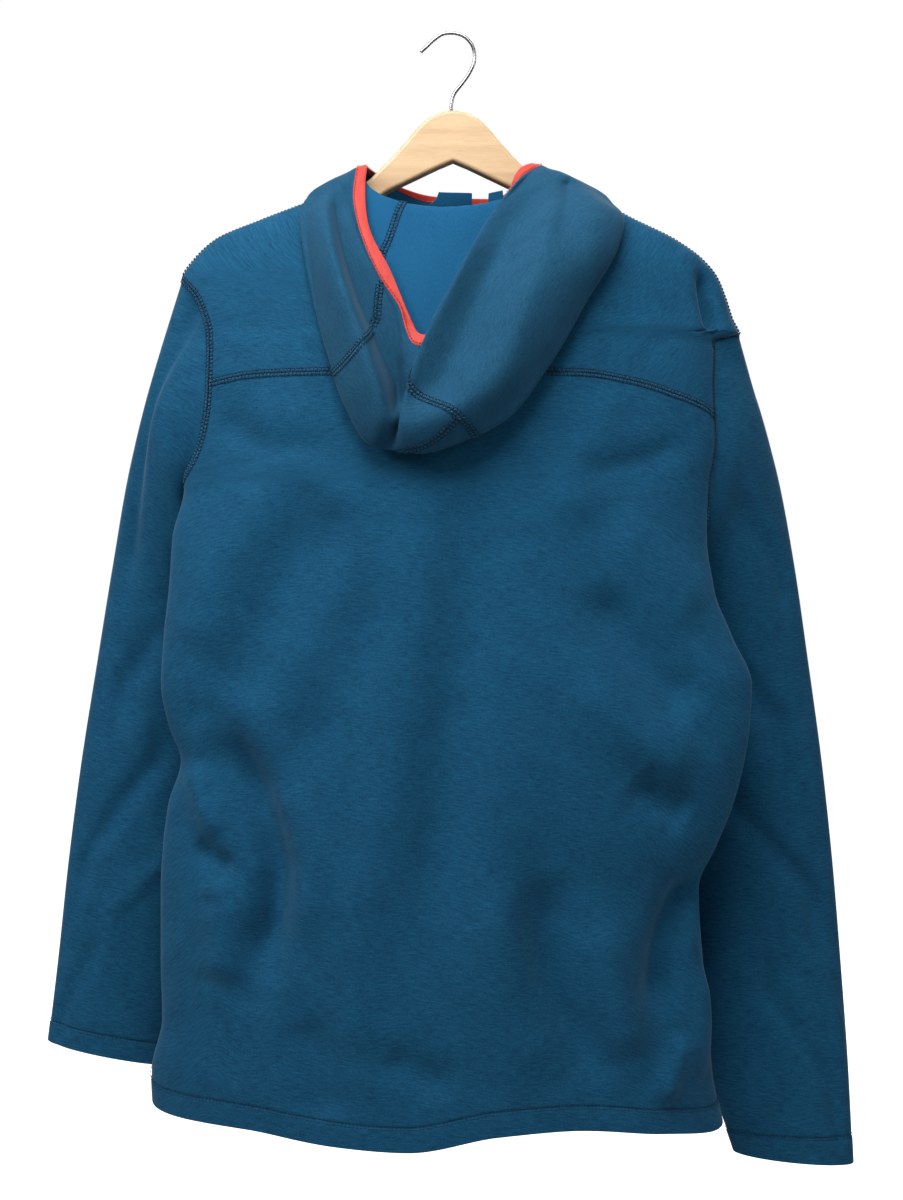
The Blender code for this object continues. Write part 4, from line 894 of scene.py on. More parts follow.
# The hood lies on the back. One row for each section across it, from the left zip edge round the
# back to the right one: its free face edge, the sewn edge of the binding, the fold beside it, the
# valley, the ridge and the outer edge where the cloth turns under, and where its seam meets the
# neckline, in degrees round the body.
# neck_angle, face, bind, fold, valley, ridge, edge
HOOD = [
    (-81, (-73, -16, -117), (-82, -18, -120), (-89, -19, -126),
     (-95, -18, -132), (-109, -24, -143), (-126, -16, -149)),
    (-73, (-74, -28, -139), (-84, -31, -144), (-88, -29, -150),
     (-92, -25, -156), (-107, -46, -160), (-128, -20, -160)),
    (-60, (-69, -46, -178), (-77, -48, -180), (-80, -42, -186),
     (-84, -38, -190), (-99, -78, -200), (-123, -42, -200)),
    (-47, (-52, -58, -213), (-59, -62, -222), (-64, -57, -228),
     (-71, -54, -234), (-86, -97, -242), (-114, -58, -244)),
    (-34, (-41, -62, -240), (-44, -69, -246), (-50, -66, -260),
     (-57, -64, -268), (-73, -109, -280), (-101, -74, -288)),
    (-23, (-33, -70, -259), (-38, -75, -266), (-43, -76, -290),
     (-47, -76, -304), (-60, -113, -320), (-86, -84, -330)),
    (-15, (-28, -77, -268), (-32, -80, -277), (-40, -82, -301),
     (-43, -82, -324), (-52, -108, -343), (-64, -90, -360)),
    (-8, (-23, -80, -270), (-25, -83, -279), (-31, -88, -303),
     (-34, -91, -326), (-42, -95, -345), (-50, -90, -362)),
    (0, (-17, -80, -267), (-19, -84, -276), (-34, -103, -307),
     (-40, -104, -329), (-43, -104, -346), (-44, -95, -363)),
    (6, (-12, -79, -264), (-14, -82, -273), (-32, -106, -302),
     (-28, -103, -322), (-24, -110, -344), (-26, -97, -366)),
    (14, (-7, -77, -259), (-7, -84, -263), (-28, -105, -293),
     (-10, -98, -308), (6, -112, -330), (6, -97, -357)),
    (24, (-2, -74, -248), (-3, -82, -245), (-19, -101, -272),
     (-1, -93, -285), (37, -111, -303), (42, -93, -339)),
    (38, (9, -65, -227), (8, -73, -224), (-3, -93, -237),
     (17, -83, -243), (55, -107, -260), (77, -84, -295)),
    (52, (24, -54, -199), (23, -62, -196), (15, -79, -199),
     (35, -70, -203), (73, -94, -213), (112, -66, -236)),
    (64, (39, -43, -167), (36, -50, -163), (30, -60, -171),
     (50, -54, -171), (88, -72, -173), (138, -46, -190)),
    (75, (48, -30, -140), (52, -37, -137), (48, -45, -149),
     (66, -40, -148), (100, -44, -149), (142, -24, -158)),
    (82, (57, -12, -118), (65, -14, -121), (64, -25, -130),
     (78, -24, -130), (104, -27, -138), (136, -17, -150)),
]
# Where the face edge passes over the hanger's arms, and down the collar to the zip.
# neck_angle, face, bind, fold, valley, ridge, edge
HOOD_OVER_LEFT = (
    -87,
    (-72, 3, -114),
    (-81, 0, -115),
    (-89, -4, -119),
    (-96, -8, -124),
    (-108, -12, -131),
    (-123, -11, -141),
)
HOOD_OVER_RIGHT = (
    88,
    (68, 4, -110),
    (76, -1, -113),
    (82, -6, -117),
    (90, -9, -120),
    (107, -13, -129),
    (130, -10, -141),
)
# neck_angle, face_x, face_y, face_z
COLLAR_LEFT = [(-184, 17, 70, -124), (-152, -22, 66, -123), (-118, -56, 40, -117)]
COLLAR_RIGHT = [(118, 64, 38, -116), (150, 54, 60, -121), (174, 33, 71, -124)]
COLLAR_BOW = 5.0

RIM_RISE = 13.0  # how far the hood stands up from its seam before it turns over, behind
RIM_RISE_SIDE = 3.5  # and at the sides of the neck
RIM_SHIFT = 4.0
NECK_SEAM_RISE = 1.8
UNDER_STAND_OFF = 4.2
TOP_STAND_OFF = 9.5
NECK_FADE = 16.0  # within this much of the neckline the hood's layers aren't held off the back
UNDER_LAYER = 4.9  # the line from which the cloth counts as the hood's under layer
RIM_TO_EDGE = (0.62, 0.22)  # places of the under layer's two lines, from the rim to the outer edge
BIND = 1  # index of the binding's sewn edge among a section's lines
LAST_STATION = len(COLLAR_LEFT) + len(HOOD) + len(COLLAR_RIGHT) + 1
LAST_LINE = 9


def neck_point(angle):
    """A place on the neck seam, just above the middle of the body's wall."""
    angle = np.asarray(angle, dtype=float)
    place = body(angle, neck_z(angle))
    normal = body_normals(angle, neck_z(angle))
    along = body(angle + 1, neck_z(angle + 1)) - body(angle - 1, neck_z(angle - 1))
    up = unit(np.cross(normal, along))
    up = up * np.where(up[..., 2:] > 0, 1, -1)
    return place - normal * CLOTH / 2 + up * NECK_SEAM_RISE


def laid_back(row):
    """A section of the hood that lies on the back, from its face edge round to the neck seam."""
    seam = neck_point(row[0])
    side = math.sin(math.radians(row[0]))
    rim = seam + np.array([-RIM_SHIFT * side**3, -2.0, mix(RIM_RISE, RIM_RISE_SIDE, side**4)])
    edge = np.array(row[6], dtype=float)
    under, upper = (mix(rim, edge, part) for part in RIM_TO_EDGE)
    for point in (under, upper):
        behind, below = back_at(point[0], point[2])
        point[1] = mix(point[1], behind - UNDER_STAND_OFF, soft_step(below / NECK_FADE))
    return [*row[1:], under, upper, rim, seam]


def collar_section(row):
    """A section of the standing collar, which bows out a little between its edge and its seam."""
    face = np.array(row[1:4], dtype=float)
    seam = neck_point(row[0])
    outward = unit(np.array([seam[0], seam[1], 0.0])[None])[0]
    places = (0.0, 0.12, 0.25, 0.38, 0.5, 0.62, 0.72, 0.84, 0.93, 1.0)
    return [mix(face, seam, t) + outward * COLLAR_BOW * math.sin(math.pi * t) for t in places]


def hood_stations():
    rows = [collar_section(row) for row in COLLAR_LEFT]
    rows += [laid_back(HOOD_OVER_LEFT)]
    rows += [laid_back(row) for row in HOOD]
    rows += [laid_back(HOOD_OVER_RIGHT)]
    rows += [collar_section(row) for row in COLLAR_RIGHT]
    return np.array([[np.array(point, dtype=float) for point in row] for row in rows])


# Creases of the hood, as lines from one place to another by station and line: how wide each one is
# in stations and in lines, and how far it stands out, or lies in below zero.
# station0, line0, station1, line1, wide_station, wide_line, depth
HOOD_CREASES = [
    (20.1, 3.7, 17.9, 4.1, 0.5, 0.20, -7),  # the fold at the top of the right roll
    (19.8, 4.3, 17.4, 4.6, 0.6, 0.25, 4),
    (17.0, 4.9, 15.0, 4.7, 0.6, 0.30, -3),
    (16.2, 3.4, 14.6, 3.6, 0.5, 0.22, 2),
    (6.0, 4.7, 8.0, 4.5, 0.6, 0.30, -3),
    (8.6, 2.2, 9.4, 1.6, 0.4, 0.30, 2),
    (6.6, 2.3, 7.4, 1.8, 0.3, 0.25, -2),
]


def hood_folds(c, t):
    lift = np.zeros(c.shape)
    for c0, t0, c1, t1, wide_c, wide_t, depth in HOOD_CREASES:
        run_c, run_t = (c1 - c0) / wide_c, (t1 - t0) / wide_t
        share = ((c - c0) / wide_c * run_c + (t - t0) / wide_t * run_t) / (run_c**2 + run_t**2)
        share = np.clip(share, 0, 1)
        far = ((c - mix(c0, c1, share)) / wide_c) ** 2 + ((t - mix(t0, t1, share)) / wide_t) ** 2
        lift += depth * np.exp(-far)
    return lift


def hood_surface(stations):
    """A function (station, line) -> point, both in fractions; the last line is the neck seam."""
    rows = COLLAR_LEFT + [HOOD_OVER_LEFT] + HOOD + [HOOD_OVER_RIGHT] + COLLAR_RIGHT
    places = np.arange(len(rows), dtype=float)
    neck_angles = [(place, row[0]) for place, row in zip(places, rows)]

    def surface(c, t):
        c, t = np.broadcast_arrays(np.asarray(c, dtype=float), np.asarray(t, dtype=float))
        flat_c = c.ravel()
        flat_t = t.ravel()
        curves = through(stations, flat_c)
        point = through_each(curves, np.clip(flat_t, 0, LAST_LINE))
        seam = neck_point(smooth(neck_angles, 1, flat_c))
        to_seam = seam - through(stations[:, LAST_LINE], flat_c)
        point += to_seam * soft_step(flat_t - LAST_LINE + 1)[:, None]
        behind, below = back_at(point[:, 0], point[:, 2])
        under = soft_step((flat_t - UNDER_LAYER) / 1.1)
        limit = behind - mix(TOP_STAND_OFF, UNDER_STAND_OFF - 0.3, under)
        held_off = soft_step(below / NECK_FADE) * soft_step((LAST_LINE - 1 - flat_t) / 0.4)
        held_off *= point[:, 1] < 0
        point[:, 1] -= hood_folds(flat_c, flat_t)
        point[:, 1] = mix(point[:, 1], np.minimum(point[:, 1], limit), held_off)
        return point.reshape(c.shape + (3,))

    return surface


# The hood's two long seams, by line: which station each one passes. line, left, right
HOOD_SEAMS = [
    (0, 7.0, 11.2),
    (1, 7.0, 11.2),
    (2, 7.2, 12.0),
    (3, 7.6, 13.0),
    (4, 8.0, 13.75),
    (5, 8.3, 14.3),
    (6, 8.8, 14.4),
    (7, 9.7, 14.5),
    (8, 10.5, 14.5),
    (9, 10.7, 14.5),
]
# The cross seam of its centre strip, by place across the strip. across, line
CROSS_SEAM = [(0.0, 5.8), (0.3, 5.6), (0.55, 5.25), (0.8, 4.75), (1.0, 4.25)]


hood = hood_surface(hood_stations())
SIDE_COLUMNS = 110
CROWN_COLUMNS = 56
HALF_ROWS = 52


def hood_piece(name, c_left, c_right, t_rows, columns):
    """A piece between two lines of stations; t_rows(s) are the lines that its rows follow."""
    s = np.linspace(0, 1, columns)[None, :]
    t = t_rows(s)
    points = hood(mix(c_left(t), c_right(t), s), t)
    finishes = (hood_fleece, hood_inside)
    made = shell("cloth_" + name, points, HOOD_CLOTH / 2, HOOD_CLOTH / 2, finishes)
    return stand_for(made, name)


def constant(value):
    return lambda at: value + 0 * at


def long_seam(column):
    return lambda t: smooth(HOOD_SEAMS, column, t)


half_part = np.linspace(0, 1, HALF_ROWS)[:, None]


def side_rows(across):
    """Rows that meet those of the centre strip, above and below its cross seam."""
    middle = float(smooth(CROSS_SEAM, 1, across))
    below = mix(middle, float(LAST_LINE), half_part)[1:]
    lines = np.concatenate([mix(float(BIND), middle, half_part), below])
    return lambda s: lines + 0 * s


def top_rows(s):
    return mix(float(BIND), smooth(CROSS_SEAM, 1, s), half_part)


def back_rows(s):
    return mix(smooth(CROSS_SEAM, 1, s), float(LAST_LINE), half_part)


last = float(LAST_STATION)
start, end = constant(0.0), constant(last)
seam_left, seam_right = long_seam(1), long_seam(2)
hood_left = hood_piece("hood_side_left", start, seam_left, side_rows(0.0), SIDE_COLUMNS)
hood_right = hood_piece("hood_side_right", seam_right, end, side_rows(1.0), SIDE_COLUMNS)
crown_top = hood_piece("hood_crown_top", seam_left, seam_right, top_rows, CROWN_COLUMNS)
crown_back = hood_piece("hood_crown_back", seam_left, seam_right, back_rows, CROWN_COLUMNS)

# ---------------------------------------------------------------- binding
# The hood's face edge is bound with orange elastic tape, folded round the edge and sewn through
# both layers near its inner side. It is fine ribbed and a little shiny.

BINDING_CLOTH = 2.0


def ribbed_tape(name, dark, light):
    """Woven tape with fine ribs across it."""
    made, tree, shader = new_material(
        name, roughness=0.62, Specular_IOR_Level=0.35, Sheen_Weight=0.15, Sheen_Roughness=0.4
    )
    place = wire(tree, "TexCoord").outputs["UV"]
    ribs = blotted(tree, place, 0.9, 9.0, detail=1.0)
    blots = blotted(tree, place, 14.0, 5.0)
    colour_by(tree, shader, dark, light, weighed(tree, ribs, 0.5, blots), 0.45, 1.05)
    raise_by(tree, shader, ribs, 0.5, 0.3)
    return made


orange = ribbed_tape("orange_binding", (0.33, 0.018, 0.011), (0.48, 0.032, 0.020))
BINDING_COLUMNS = 420
# The binding's profile, from the face edge to its sewn edge. line, share of its thickness
BINDING_PROFILE = (
    (0.0, 0.75),
    (0.06, 0.9),
    (0.15, 1.05),
    (0.3, 1.1),
    (0.5, 1.0),
    (0.7, 0.95),
    (0.85, 0.8),
    (0.95, 0.95),
    (1.03, 0.7),
)
binding_t, binding_share = np.array(BINDING_PROFILE).T[..., None]
binding_half = BINDING_CLOTH / 2 * binding_share
binding_grid = hood(np.linspace(0, last, BINDING_COLUMNS)[None, :], binding_t)
binding = shell("cloth_hood_binding", binding_grid, binding_half, binding_half, (orange, orange))
stand_for(binding, "hood_binding")

# Below the zip's top end the tape turns down behind the collar's two front edges and joins them.
END_BEHIND = (2.4, -1.0)  # its two sides, behind the middle of the collar's cloth
end_s = np.linspace(-0.25, 1.25, 9)[None, :]
end_t = np.linspace(0.1, 3.4, 12)[:, None]
collar_ends = mix(hood(0.0, end_t), hood(last, end_t), end_s[..., None])
binding_end = shell("binding_end", collar_ends, *END_BEHIND, (orange, orange))

# ---------------------------------------------------------------- zip
# A coil zip closes the fronts up to the neck seam. Its tapes are sewn behind the fronts' edges, and
# a soft guard lies inside each end of the collar. The slider and its pull are lacquered metal.

COIL_WIDTH = 2.6
COIL_THICK = 2.2
TAPE_CLOTH = 0.9
GUARD_CLOTH = 1.4

zip_tape_finish = ribbed_tape("zip_tape", (0.010, 0.045, 0.085), (0.02, 0.075, 0.13))


def make_tape(node, sign):
    """The tape behind a front's edge, made from the front's own points, and thicker at the coil."""
    angle, z, _ = front_grid(sign)
    near = slice(0, 4) if sign < 0 else slice(-4, None)
    at_zip = z[:, :1] if sign < 0 else z[:, -1:]
    reach = np.array([0.2, COIL_WIDTH, COIL_WIDTH + 0.3])[None, ::-sign]
    coil_angle = front_angle(zip_x(at_zip) + sign * reach, at_zip, sign)
    parts = [(coil_angle, at_zip + 0 * reach), (angle[:, near], z[:, near])][::-sign]
    angle = np.concatenate([part[0] for part in parts], axis=1)
    z = np.concatenate([part[1] for part in parts], axis=1)
    depth = CLOTH + SEAM_GAP
    finishes = (zip_tape_finish, zip_tape_finish)
    made = shell("cloth_" + node, body(angle, z), -depth, depth + TAPE_CLOTH, finishes)
    return stand_for(made, node)


tape_left = make_tape("zip_tape_left", -1)
tape_right = make_tape("zip_tape_right", 1)

GUARD_DEPTH = 2.6  # how far down the collar the guards reach, by the lines of the hood's sections
GUARD_RISE = 4.0  # how far they stand above the collar's edge


def make_guard(node, c_from, c_to):
    """A soft guard on the inside of the collar's front, a little higher than its edge."""
    t = np.linspace(0, GUARD_DEPTH, 34)[:, None]
    points = hood(np.linspace(c_from, c_to, 24)[None, :], t)
    points[:, :, 2] += GUARD_RISE * (1 - soft_step(t / 0.43))
    inside = BINDING_CLOTH / 2 + SEAM_GAP
    finishes = (fleece, hood_inside)
    made = shell("cloth_" + node, points, -inside, inside + GUARD_CLOTH, finishes)
    return stand_for(made, node)


guard_left = make_guard("zip_guard_left", 0.0, 0.75)
guard_right = make_guard("zip_guard_right", last - 0.55, last)

# The coil: small teeth from each tape that hook between each other, from the hem to the slider.


def lens_threads(name, finish, starts, ends, normals, radius, rise):
    """Short threads as one mesh: each from its start to its end, where it is thin and low."""
    along = ends - starts
    side = unit(np.cross(along, normals)) * radius
    up = unit(np.cross(side, along)) * radius
    up = up * np.where(np.sum(up * normals, axis=-1, keepdims=True) < 0, -1, 1)
    rings = []
    for share, swell in ((0.28, 1.0), (0.72, 1.0)):
        middle = starts + along * share + normals * rise
        rings += [middle + side, middle + up, middle - side, middle - up]
    points = np.stack([starts] + rings + [ends], axis=1)
    faces = []
    for k in range(4):
        m = (k + 1) % 4
        faces += [(0, 1 + m, 1 + k, 1 + k), (1 + k, 1 + m, 5 + m, 5 + k), (9, 5 + k, 5 + m, 5 + m)]
    offsets = np.arange(len(starts))[:, None, None] * points.shape[1]
    corner = (np.array(faces)[None] + offsets).reshape(-1, 4)
    three = corner[:, 2] == corner[:, 3]
    faces = [corner[~three], corner[three][:, :3]]
    return add_mesh(name, points.reshape(-1, 3) * MM, faces, (finish,))


def along_line(points, normals, pitch):
    """Places and normals at every `pitch` along a line of points, and the direction there."""
    lengths = np.concatenate([[0], np.cumsum(np.linalg.norm(np.diff(points, axis=0), axis=1))])
    where = np.arange(pitch / 2, lengths[-1], pitch)

    def read(values, at):
        return np.stack([np.interp(at, lengths, values[:, k]) for k in range(3)], axis=1)

    ahead = unit(read(points, where + 0.5) - read(points, where - 0.5))
    return read(points, where), unit(read(normals, where)), ahead


def speckled(made, tree, shader, dark, light, scale, detail, low, high):
    """Gives a material fine specks between two colours, all over the object."""
    place = wire(tree, "TexCoord").outputs["Object"]
    colour_by(tree, shader, dark, light, noise(tree, place, scale, detail), low, high)
    return made


def darker(colour, share):
    return tuple(share * channel for channel in colour)


def smooth_plastic(name, colour, roughness, metallic=0.0):
    made = new_material(name, roughness, Metallic=metallic, Coat_Weight=0.2, Coat_Roughness=0.2)
    return speckled(*made, darker(colour, 0.7), colour, 900.0, 3.0, 0.35, 0.6)


coil_finish = smooth_plastic("zip_coil", (0.012, 0.05, 0.09), 0.35)
TOOTH_PITCH = 1.5
TOOTH_RADIUS = 0.65
TOOTH_HOOK = 0.9  # how far a tooth passes the zip's middle
coil_z = np.linspace(ZIP_TOP_Z - 12, float(hem_front(np.array(0.5))) + 4, 500)
coil_angle = front_angle(zip_x(coil_z), coil_z, 1)
coil_line, coil_normals = body(coil_angle, coil_z), body_normals(coil_angle, coil_z)
coil_line = coil_line - coil_normals * (CLOTH + TAPE_CLOTH - COIL_THICK - 0.15)
tooth, tooth_normal, tooth_ahead = along_line(coil_line, coil_normals, TOOTH_PITCH)
across = unit(np.cross(tooth_normal, tooth_ahead))
hand = np.where(np.arange(len(tooth)) % 2 == 0, 1.0, -1.0)[:, None]
tooth_ends = (tooth - across * hand * TOOTH_HOOK, tooth + across * hand * COIL_WIDTH)
zip_coil = lens_threads("zip_coil", coil_finish, *tooth_ends, tooth_normal, TOOTH_RADIUS, 0.1)

lacquer = smooth_plastic("zip_lacquer", (0.035, 0.05, 0.06), 0.38, 0.7)
for node in ("zip_slider", "zip_pull"):
    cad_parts[node].data.materials.clear()
    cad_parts[node].data.materials.append(lacquer)

# ---------------------------------------------------------------- sewing
# Seams lie flat under a cover stitch: two needle rows with looper threads crossed between them.
# Hems and cuffs have two plain rows, the binding one. The needle thread is painted darker than the
# cloth, as painted shade in its stitch holes, and the looper thread lighter than the cloth, as a
# painted highlight on its loops.

STITCH = 3.2  # length of a stitch with its gap
COVER = 3.0  # from the middle of a seam to its needle rows
THREAD = 0.42  # radius of a needle thread
FINE_THREAD = 0.85 * THREAD
STITCH_SHARE = 0.44  # half of a stitch's share of its length; the rest is the gap


def thread(name, colour):
    made = new_material(name, 0.6, Specular_IOR_Level=0.25)
    return speckled(*made, darker(colour, 0.6), colour, 1400.0, 2.0, 0.35, 0.65)


# Painted shade: the needle thread is darker than the cloth, for the shade in its stitch holes; its
# blue is the thread's own.
needle_thread_painted_shade = thread("needle_thread_painted_shade", (0.002, 0.014, 0.040))
# Painted highlight: the looper thread is lighter than the cloth, for light on its raised loops.
looper_thread_painted_highlight = thread("looper_thread_painted_highlight", (0.018, 0.100, 0.185))
orange_thread = thread("orange_thread", (0.42, 0.032, 0.02))


def needle_row(place, normal, ahead, aside, lift):
    """Starts and ends of one row of stitches, `aside` from a line and `lift` above it."""
    middle = place + unit(np.cross(normal, ahead)) * aside + normal * lift
    half = ahead * STITCH * STITCH_SHARE
    return middle - half, middle + half, normal


def joined(rows):
    return [np.concatenate(part) for part in zip(*rows)]


def cover_stitch(name, points, normals, lift=0.3):
    """A flat seam's sewing along a line of points that lies on the cloth."""
    place, normal, ahead = along_line(points, normals, STITCH)
    rows = [needle_row(place, normal, ahead, aside, lift) for aside in (-COVER, 0.0, COVER)]
    needles = lens_threads(name + "_needles", needle_thread_painted_shade, *joined(rows), THREAD, 0.35)
    place, normal, ahead = along_line(points, normals, STITCH / 2)
    across = unit(np.cross(normal, ahead))
    hand = np.where(np.arange(len(place)) % 2 == 0, 1.0, -1.0)[:, None]
    slant = ahead * 0.8 * hand
    low = place + normal * (lift - 0.15)
    loops = [
        (low + (across * COVER + slant) * way, low - slant * way * 0.2, normal) for way in (-1, 1)
    ]
    loopers = lens_threads(name + "_loopers", looper_thread_painted_highlight, *joined(loops), FINE_THREAD, 0.3)
    return [needles, loopers]


def plain_rows(name, points, normals, asides=(-1.5, 1.5), lift=0.2, slot="body_fleece"):
    """Plain rows of stitches along a line of points."""
    # Rows away from the binding use the needle thread, painted darker than the cloth as shade in
    # the stitch holes.
    finish = orange_thread if slot == "binding" else needle_thread_painted_shade
    place, normal, ahead = along_line(points, normals, STITCH)
    rows = [needle_row(place, normal, ahead, aside, lift) for aside in asides]
    made = lens_threads(name, finish, *joined(rows), FINE_THREAD, 0.25)
    return made


def on_body(angle, z):
    return body(angle, z), body_normals(angle, z)


s_fine = np.linspace(0.004, 0.996, 400)
seam_z = cross_seam(s_fine)
yoke_line = on_body(mix(back_left(seam_z), back_right(seam_z), s_fine), seam_z)
yoke_sewing = cover_stitch("seam_yoke", *yoke_line)


def round_line(points, sign, row):
    """A closed line round a sleeve, at one of its rows."""
    normals = sleeve_normals(points, sign)[row]
    line = points[row]
    return np.concatenate([line, line[:1]]), np.concatenate([normals, normals[:1]])


def armhole_line(armhole, seam_z, sign):
    ring, normals = armhole_ring(armhole, seam_z, sign)
    return np.concatenate([ring, ring[:1]]), np.concatenate([normals, normals[:1]])


armhole_left = cover_stitch("seam_armhole_left", *armhole_line(*left_hole))
armhole_right = cover_stitch("seam_armhole_right", *armhole_line(*right_hole))

cuff_row = SLEEVE_ROWS + BAND.index(TURN_UP)
cuff_left = plain_rows("cuff_stitches_left", *round_line(left_points, -1, cuff_row))
cuff_right = plain_rows("cuff_stitches_right", *round_line(right_points, 1, cuff_row))

hem_z = back_hem(s_fine) + TURN_UP
hem_back_line = on_body(mix(back_left(hem_z), back_right(hem_z), s_fine), hem_z)
hem_back_sewing = plain_rows("hem_stitches_back", *hem_back_line)


def front_line(sign, row):
    angle, z, _ = front_grid(sign)
    return on_body(angle[row], z[row])


hem_row = BAND.index(TURN_UP) - len(BAND)
hem_left_sewing = plain_rows("hem_stitches_left", *front_line(-1, hem_row))
hem_right_sewing = plain_rows("hem_stitches_right", *front_line(1, hem_row))

TOPSTITCH = 6.0  # from a front's folded edge to the row of stitches beside the zip


def beside_zip(sign):
    z = np.linspace(ZIP_TOP_Z - 2, float(hem_front(np.array(0.5))) + 2, 400)
    return on_body(front_angle(zip_x(z) + sign * (ZIP_GAP / 2 + TOPSTITCH), z, sign), z)


zip_left_sewing = plain_rows("zip_stitches_left", *beside_zip(-1), asides=(0.0,))
zip_right_sewing = plain_rows("zip_stitches_right", *beside_zip(1), asides=(0.0,))


def side_line(sign):
    armhole = ARMHOLE_LEFT if sign < 0 else ARMHOLE_RIGHT
    ends = HEM_BACK[0][1] if sign < 0 else HEM_BACK[-1][1]
    z = np.linspace(armhole[-1][0] - 2, ends + 1, 300)
    return on_body(sign * SIDE_SEAM + 0 * z, z)


side_left_sewing = cover_stitch("seam_side_left", *side_line(-1))
side_right_sewing = cover_stitch("seam_side_right", *side_line(1))


def shoulder_seam(sign):
    armhole = ARMHOLE_LEFT if sign < 0 else ARMHOLE_RIGHT
    z = np.linspace(NECK_SIDE_Z - 1, armhole[0][0] + 1, 120)
    return on_body(sign * 90 + 0 * z, z)


shoulder_left_sewing = cover_stitch("seam_shoulder_left", *shoulder_seam(-1))
shoulder_right_sewing = cover_stitch("seam_shoulder_right", *shoulder_seam(1))


def on_hood(c, t):
    """A line on the hood's right side, with its normals."""
    c, t = np.broadcast_arrays(np.asarray(c, dtype=float), np.asarray(t, dtype=float))
    normals = -surface_normals(hood, c, t, 0.06, 0.06)
    return hood(c, t) + normals * HOOD_CLOTH / 2, normals


t_fine = np.linspace(BIND + 0.03, LAST_LINE - 0.1, 300)
hood_seam_left = cover_stitch("seam_hood_left", *on_hood(seam_left(t_fine), t_fine))
hood_seam_right = cover_stitch("seam_hood_right", *on_hood(seam_right(t_fine), t_fine))
cross_t = smooth(CROSS_SEAM, 1, s_fine)
cross_c = mix(seam_left(cross_t), seam_right(cross_t), s_fine)
hood_cross = cover_stitch("seam_hood_cross", *on_hood(cross_c, cross_t))


def inside_hood(c, t):
    """A line on the hood's wrong side, which shows at the neck."""
    points, normals = on_hood(c, t)
    return points - normals * HOOD_CLOTH, -normals


t_inside = np.linspace(6.2, LAST_LINE - 0.1, 120)
inside_left = cover_stitch("seam_inside_left", *inside_hood(seam_left(t_inside), t_inside))
inside_right = cover_stitch("seam_inside_right", *inside_hood(seam_right(t_inside), t_inside))

SEWN_LINE = 0.86  # where the binding is sewn, from its face edge to its other one
on_binding, binding_normals = on_hood(np.linspace(0.1, last - 0.1, 700), SEWN_LINE)
on_binding += binding_normals * 0.5
binding_line = (on_binding, binding_normals)
binding_sewing = plain_rows("binding_stitches", *binding_line, (0.0,), 0.1, slot="binding")

# ---------------------------------------------------------------- hanger
# A plain clothes hanger: two arms of pale beech, glued together at the middle, sanded round and
# lacquered, with a polished wire hook in their joint. The jacket's shoulders hang on it.

WIRE_RADIUS = 1.5
WOOD_THICK = 14.0
WOOD_ROUND = 3.0
WOOD_TIP_X = 212.0
ARM_DEPTH = 27.0

# The wire hook's route in the plane of the hanger, from the wood up and round to its tip. x, z
HOOK_ROUTE = [
    (-1, -72),
    (-1, -58),
    (1, -51),
    (7, -43),
    (14, -33),
    (18.5, -22),
    (16.5, -9),
    (9, -1),
    (0, 1.5),
    (-9, 0.5),
    (-16, -4),
    (-23, -10.5),
    (-28, -15),
]
# The upper line of the wood between its centre and where the cloth covers it. x, z
WOOD_TOP = [
    (0, -66),
    (12, -68),
    (22, -73),
    (32, -83),
    (42, -95),
    (52, -106),
    (60, -114),
    (70, -124),
    (80, -131.5),
]
WOOD_UNDER_PEAK = -110.0
WOOD_UNDER = [(12, -115), (54, -135), (74, -147)]
ARM_CLEAR = 0.6  # between the wood and the cloth over it
TIP_ROUND = 12.0  # where an arm's end starts to round off


def shoulder_line(sign, drop):
    """The shoulder's line at its panels' rows, moved in by `drop`: (reach, z), from the neck."""
    armhole = ARMHOLE_LEFT if sign < 0 else ARMHOLE_RIGHT
    z = np.array([mix(NECK_SIDE_Z, armhole[0][0], part) for part in (0.0,) + NECK_TO_TIP])
    reach = np.abs(smooth(BODY, 1 if sign < 0 else 3, z))
    run = np.stack([np.gradient(reach), np.gradient(z)], axis=-1)
    inward = unit(np.stack([run[:, 1], -run[:, 0]], axis=-1))
    return np.stack([reach, z], axis=-1) + inward * drop


def arm(sign):
    """One arm's outline: along its top, round its tip and back under it. (x, z)"""
    line = shoulder_line(sign, CLOTH + ARM_CLEAR)
    end_x = WOOD_TIP_X - TIP_ROUND
    end_z = float(np.interp(end_x, line[:, 0], line[:, 1]))
    covered = [(x, z) for x, z in line if WOOD_TOP[-1][0] + 4 < x < end_x - 6]
    top = WOOD_TOP + covered + [(end_x, end_z)]
    tip = [(WOOD_TIP_X - 3, end_z - 7), (WOOD_TIP_X, end_z - 13), (WOOD_TIP_X - 4, end_z - 20)]
    low = [(x - 4, z - ARM_DEPTH) for x, z in reversed(covered)]
    low += list(reversed(WOOD_UNDER))
    return [(sign * x, z) for x, z in top + tip + low]


def beech():
    """Pale beech: long soft rings and short dark flecks along the grain, under satin lacquer."""
    made, tree, shader = new_material(
        "pale_beech", 0.42, Coat_Weight=0.25, Coat_Roughness=0.25, Specular_IOR_Level=0.4
    )
    place = wire(tree, "TexCoord").outputs["Object"]
    lean = wire(tree, "Mapping", Vector=place, Scale=(6.0, 60.0, 75.0))
    rings = noise(tree, lean.outputs[0], 1.0, 3.0, Distortion=0.6)
    fine = wire(tree, "Mapping", Vector=place, Scale=(90.0, 1400.0, 1400.0))
    flecks = noise(tree, fine.outputs[0], 1.0, 2.0, 0.7)
    grain = weighed(tree, flecks, 0.45, rings)
    colour_by(tree, shader, (0.40, 0.255, 0.135), (0.53, 0.37, 0.215), grain, 0.5, 0.95)
    raise_by(tree, shader, flecks, 0.15, 0.3)
    return made


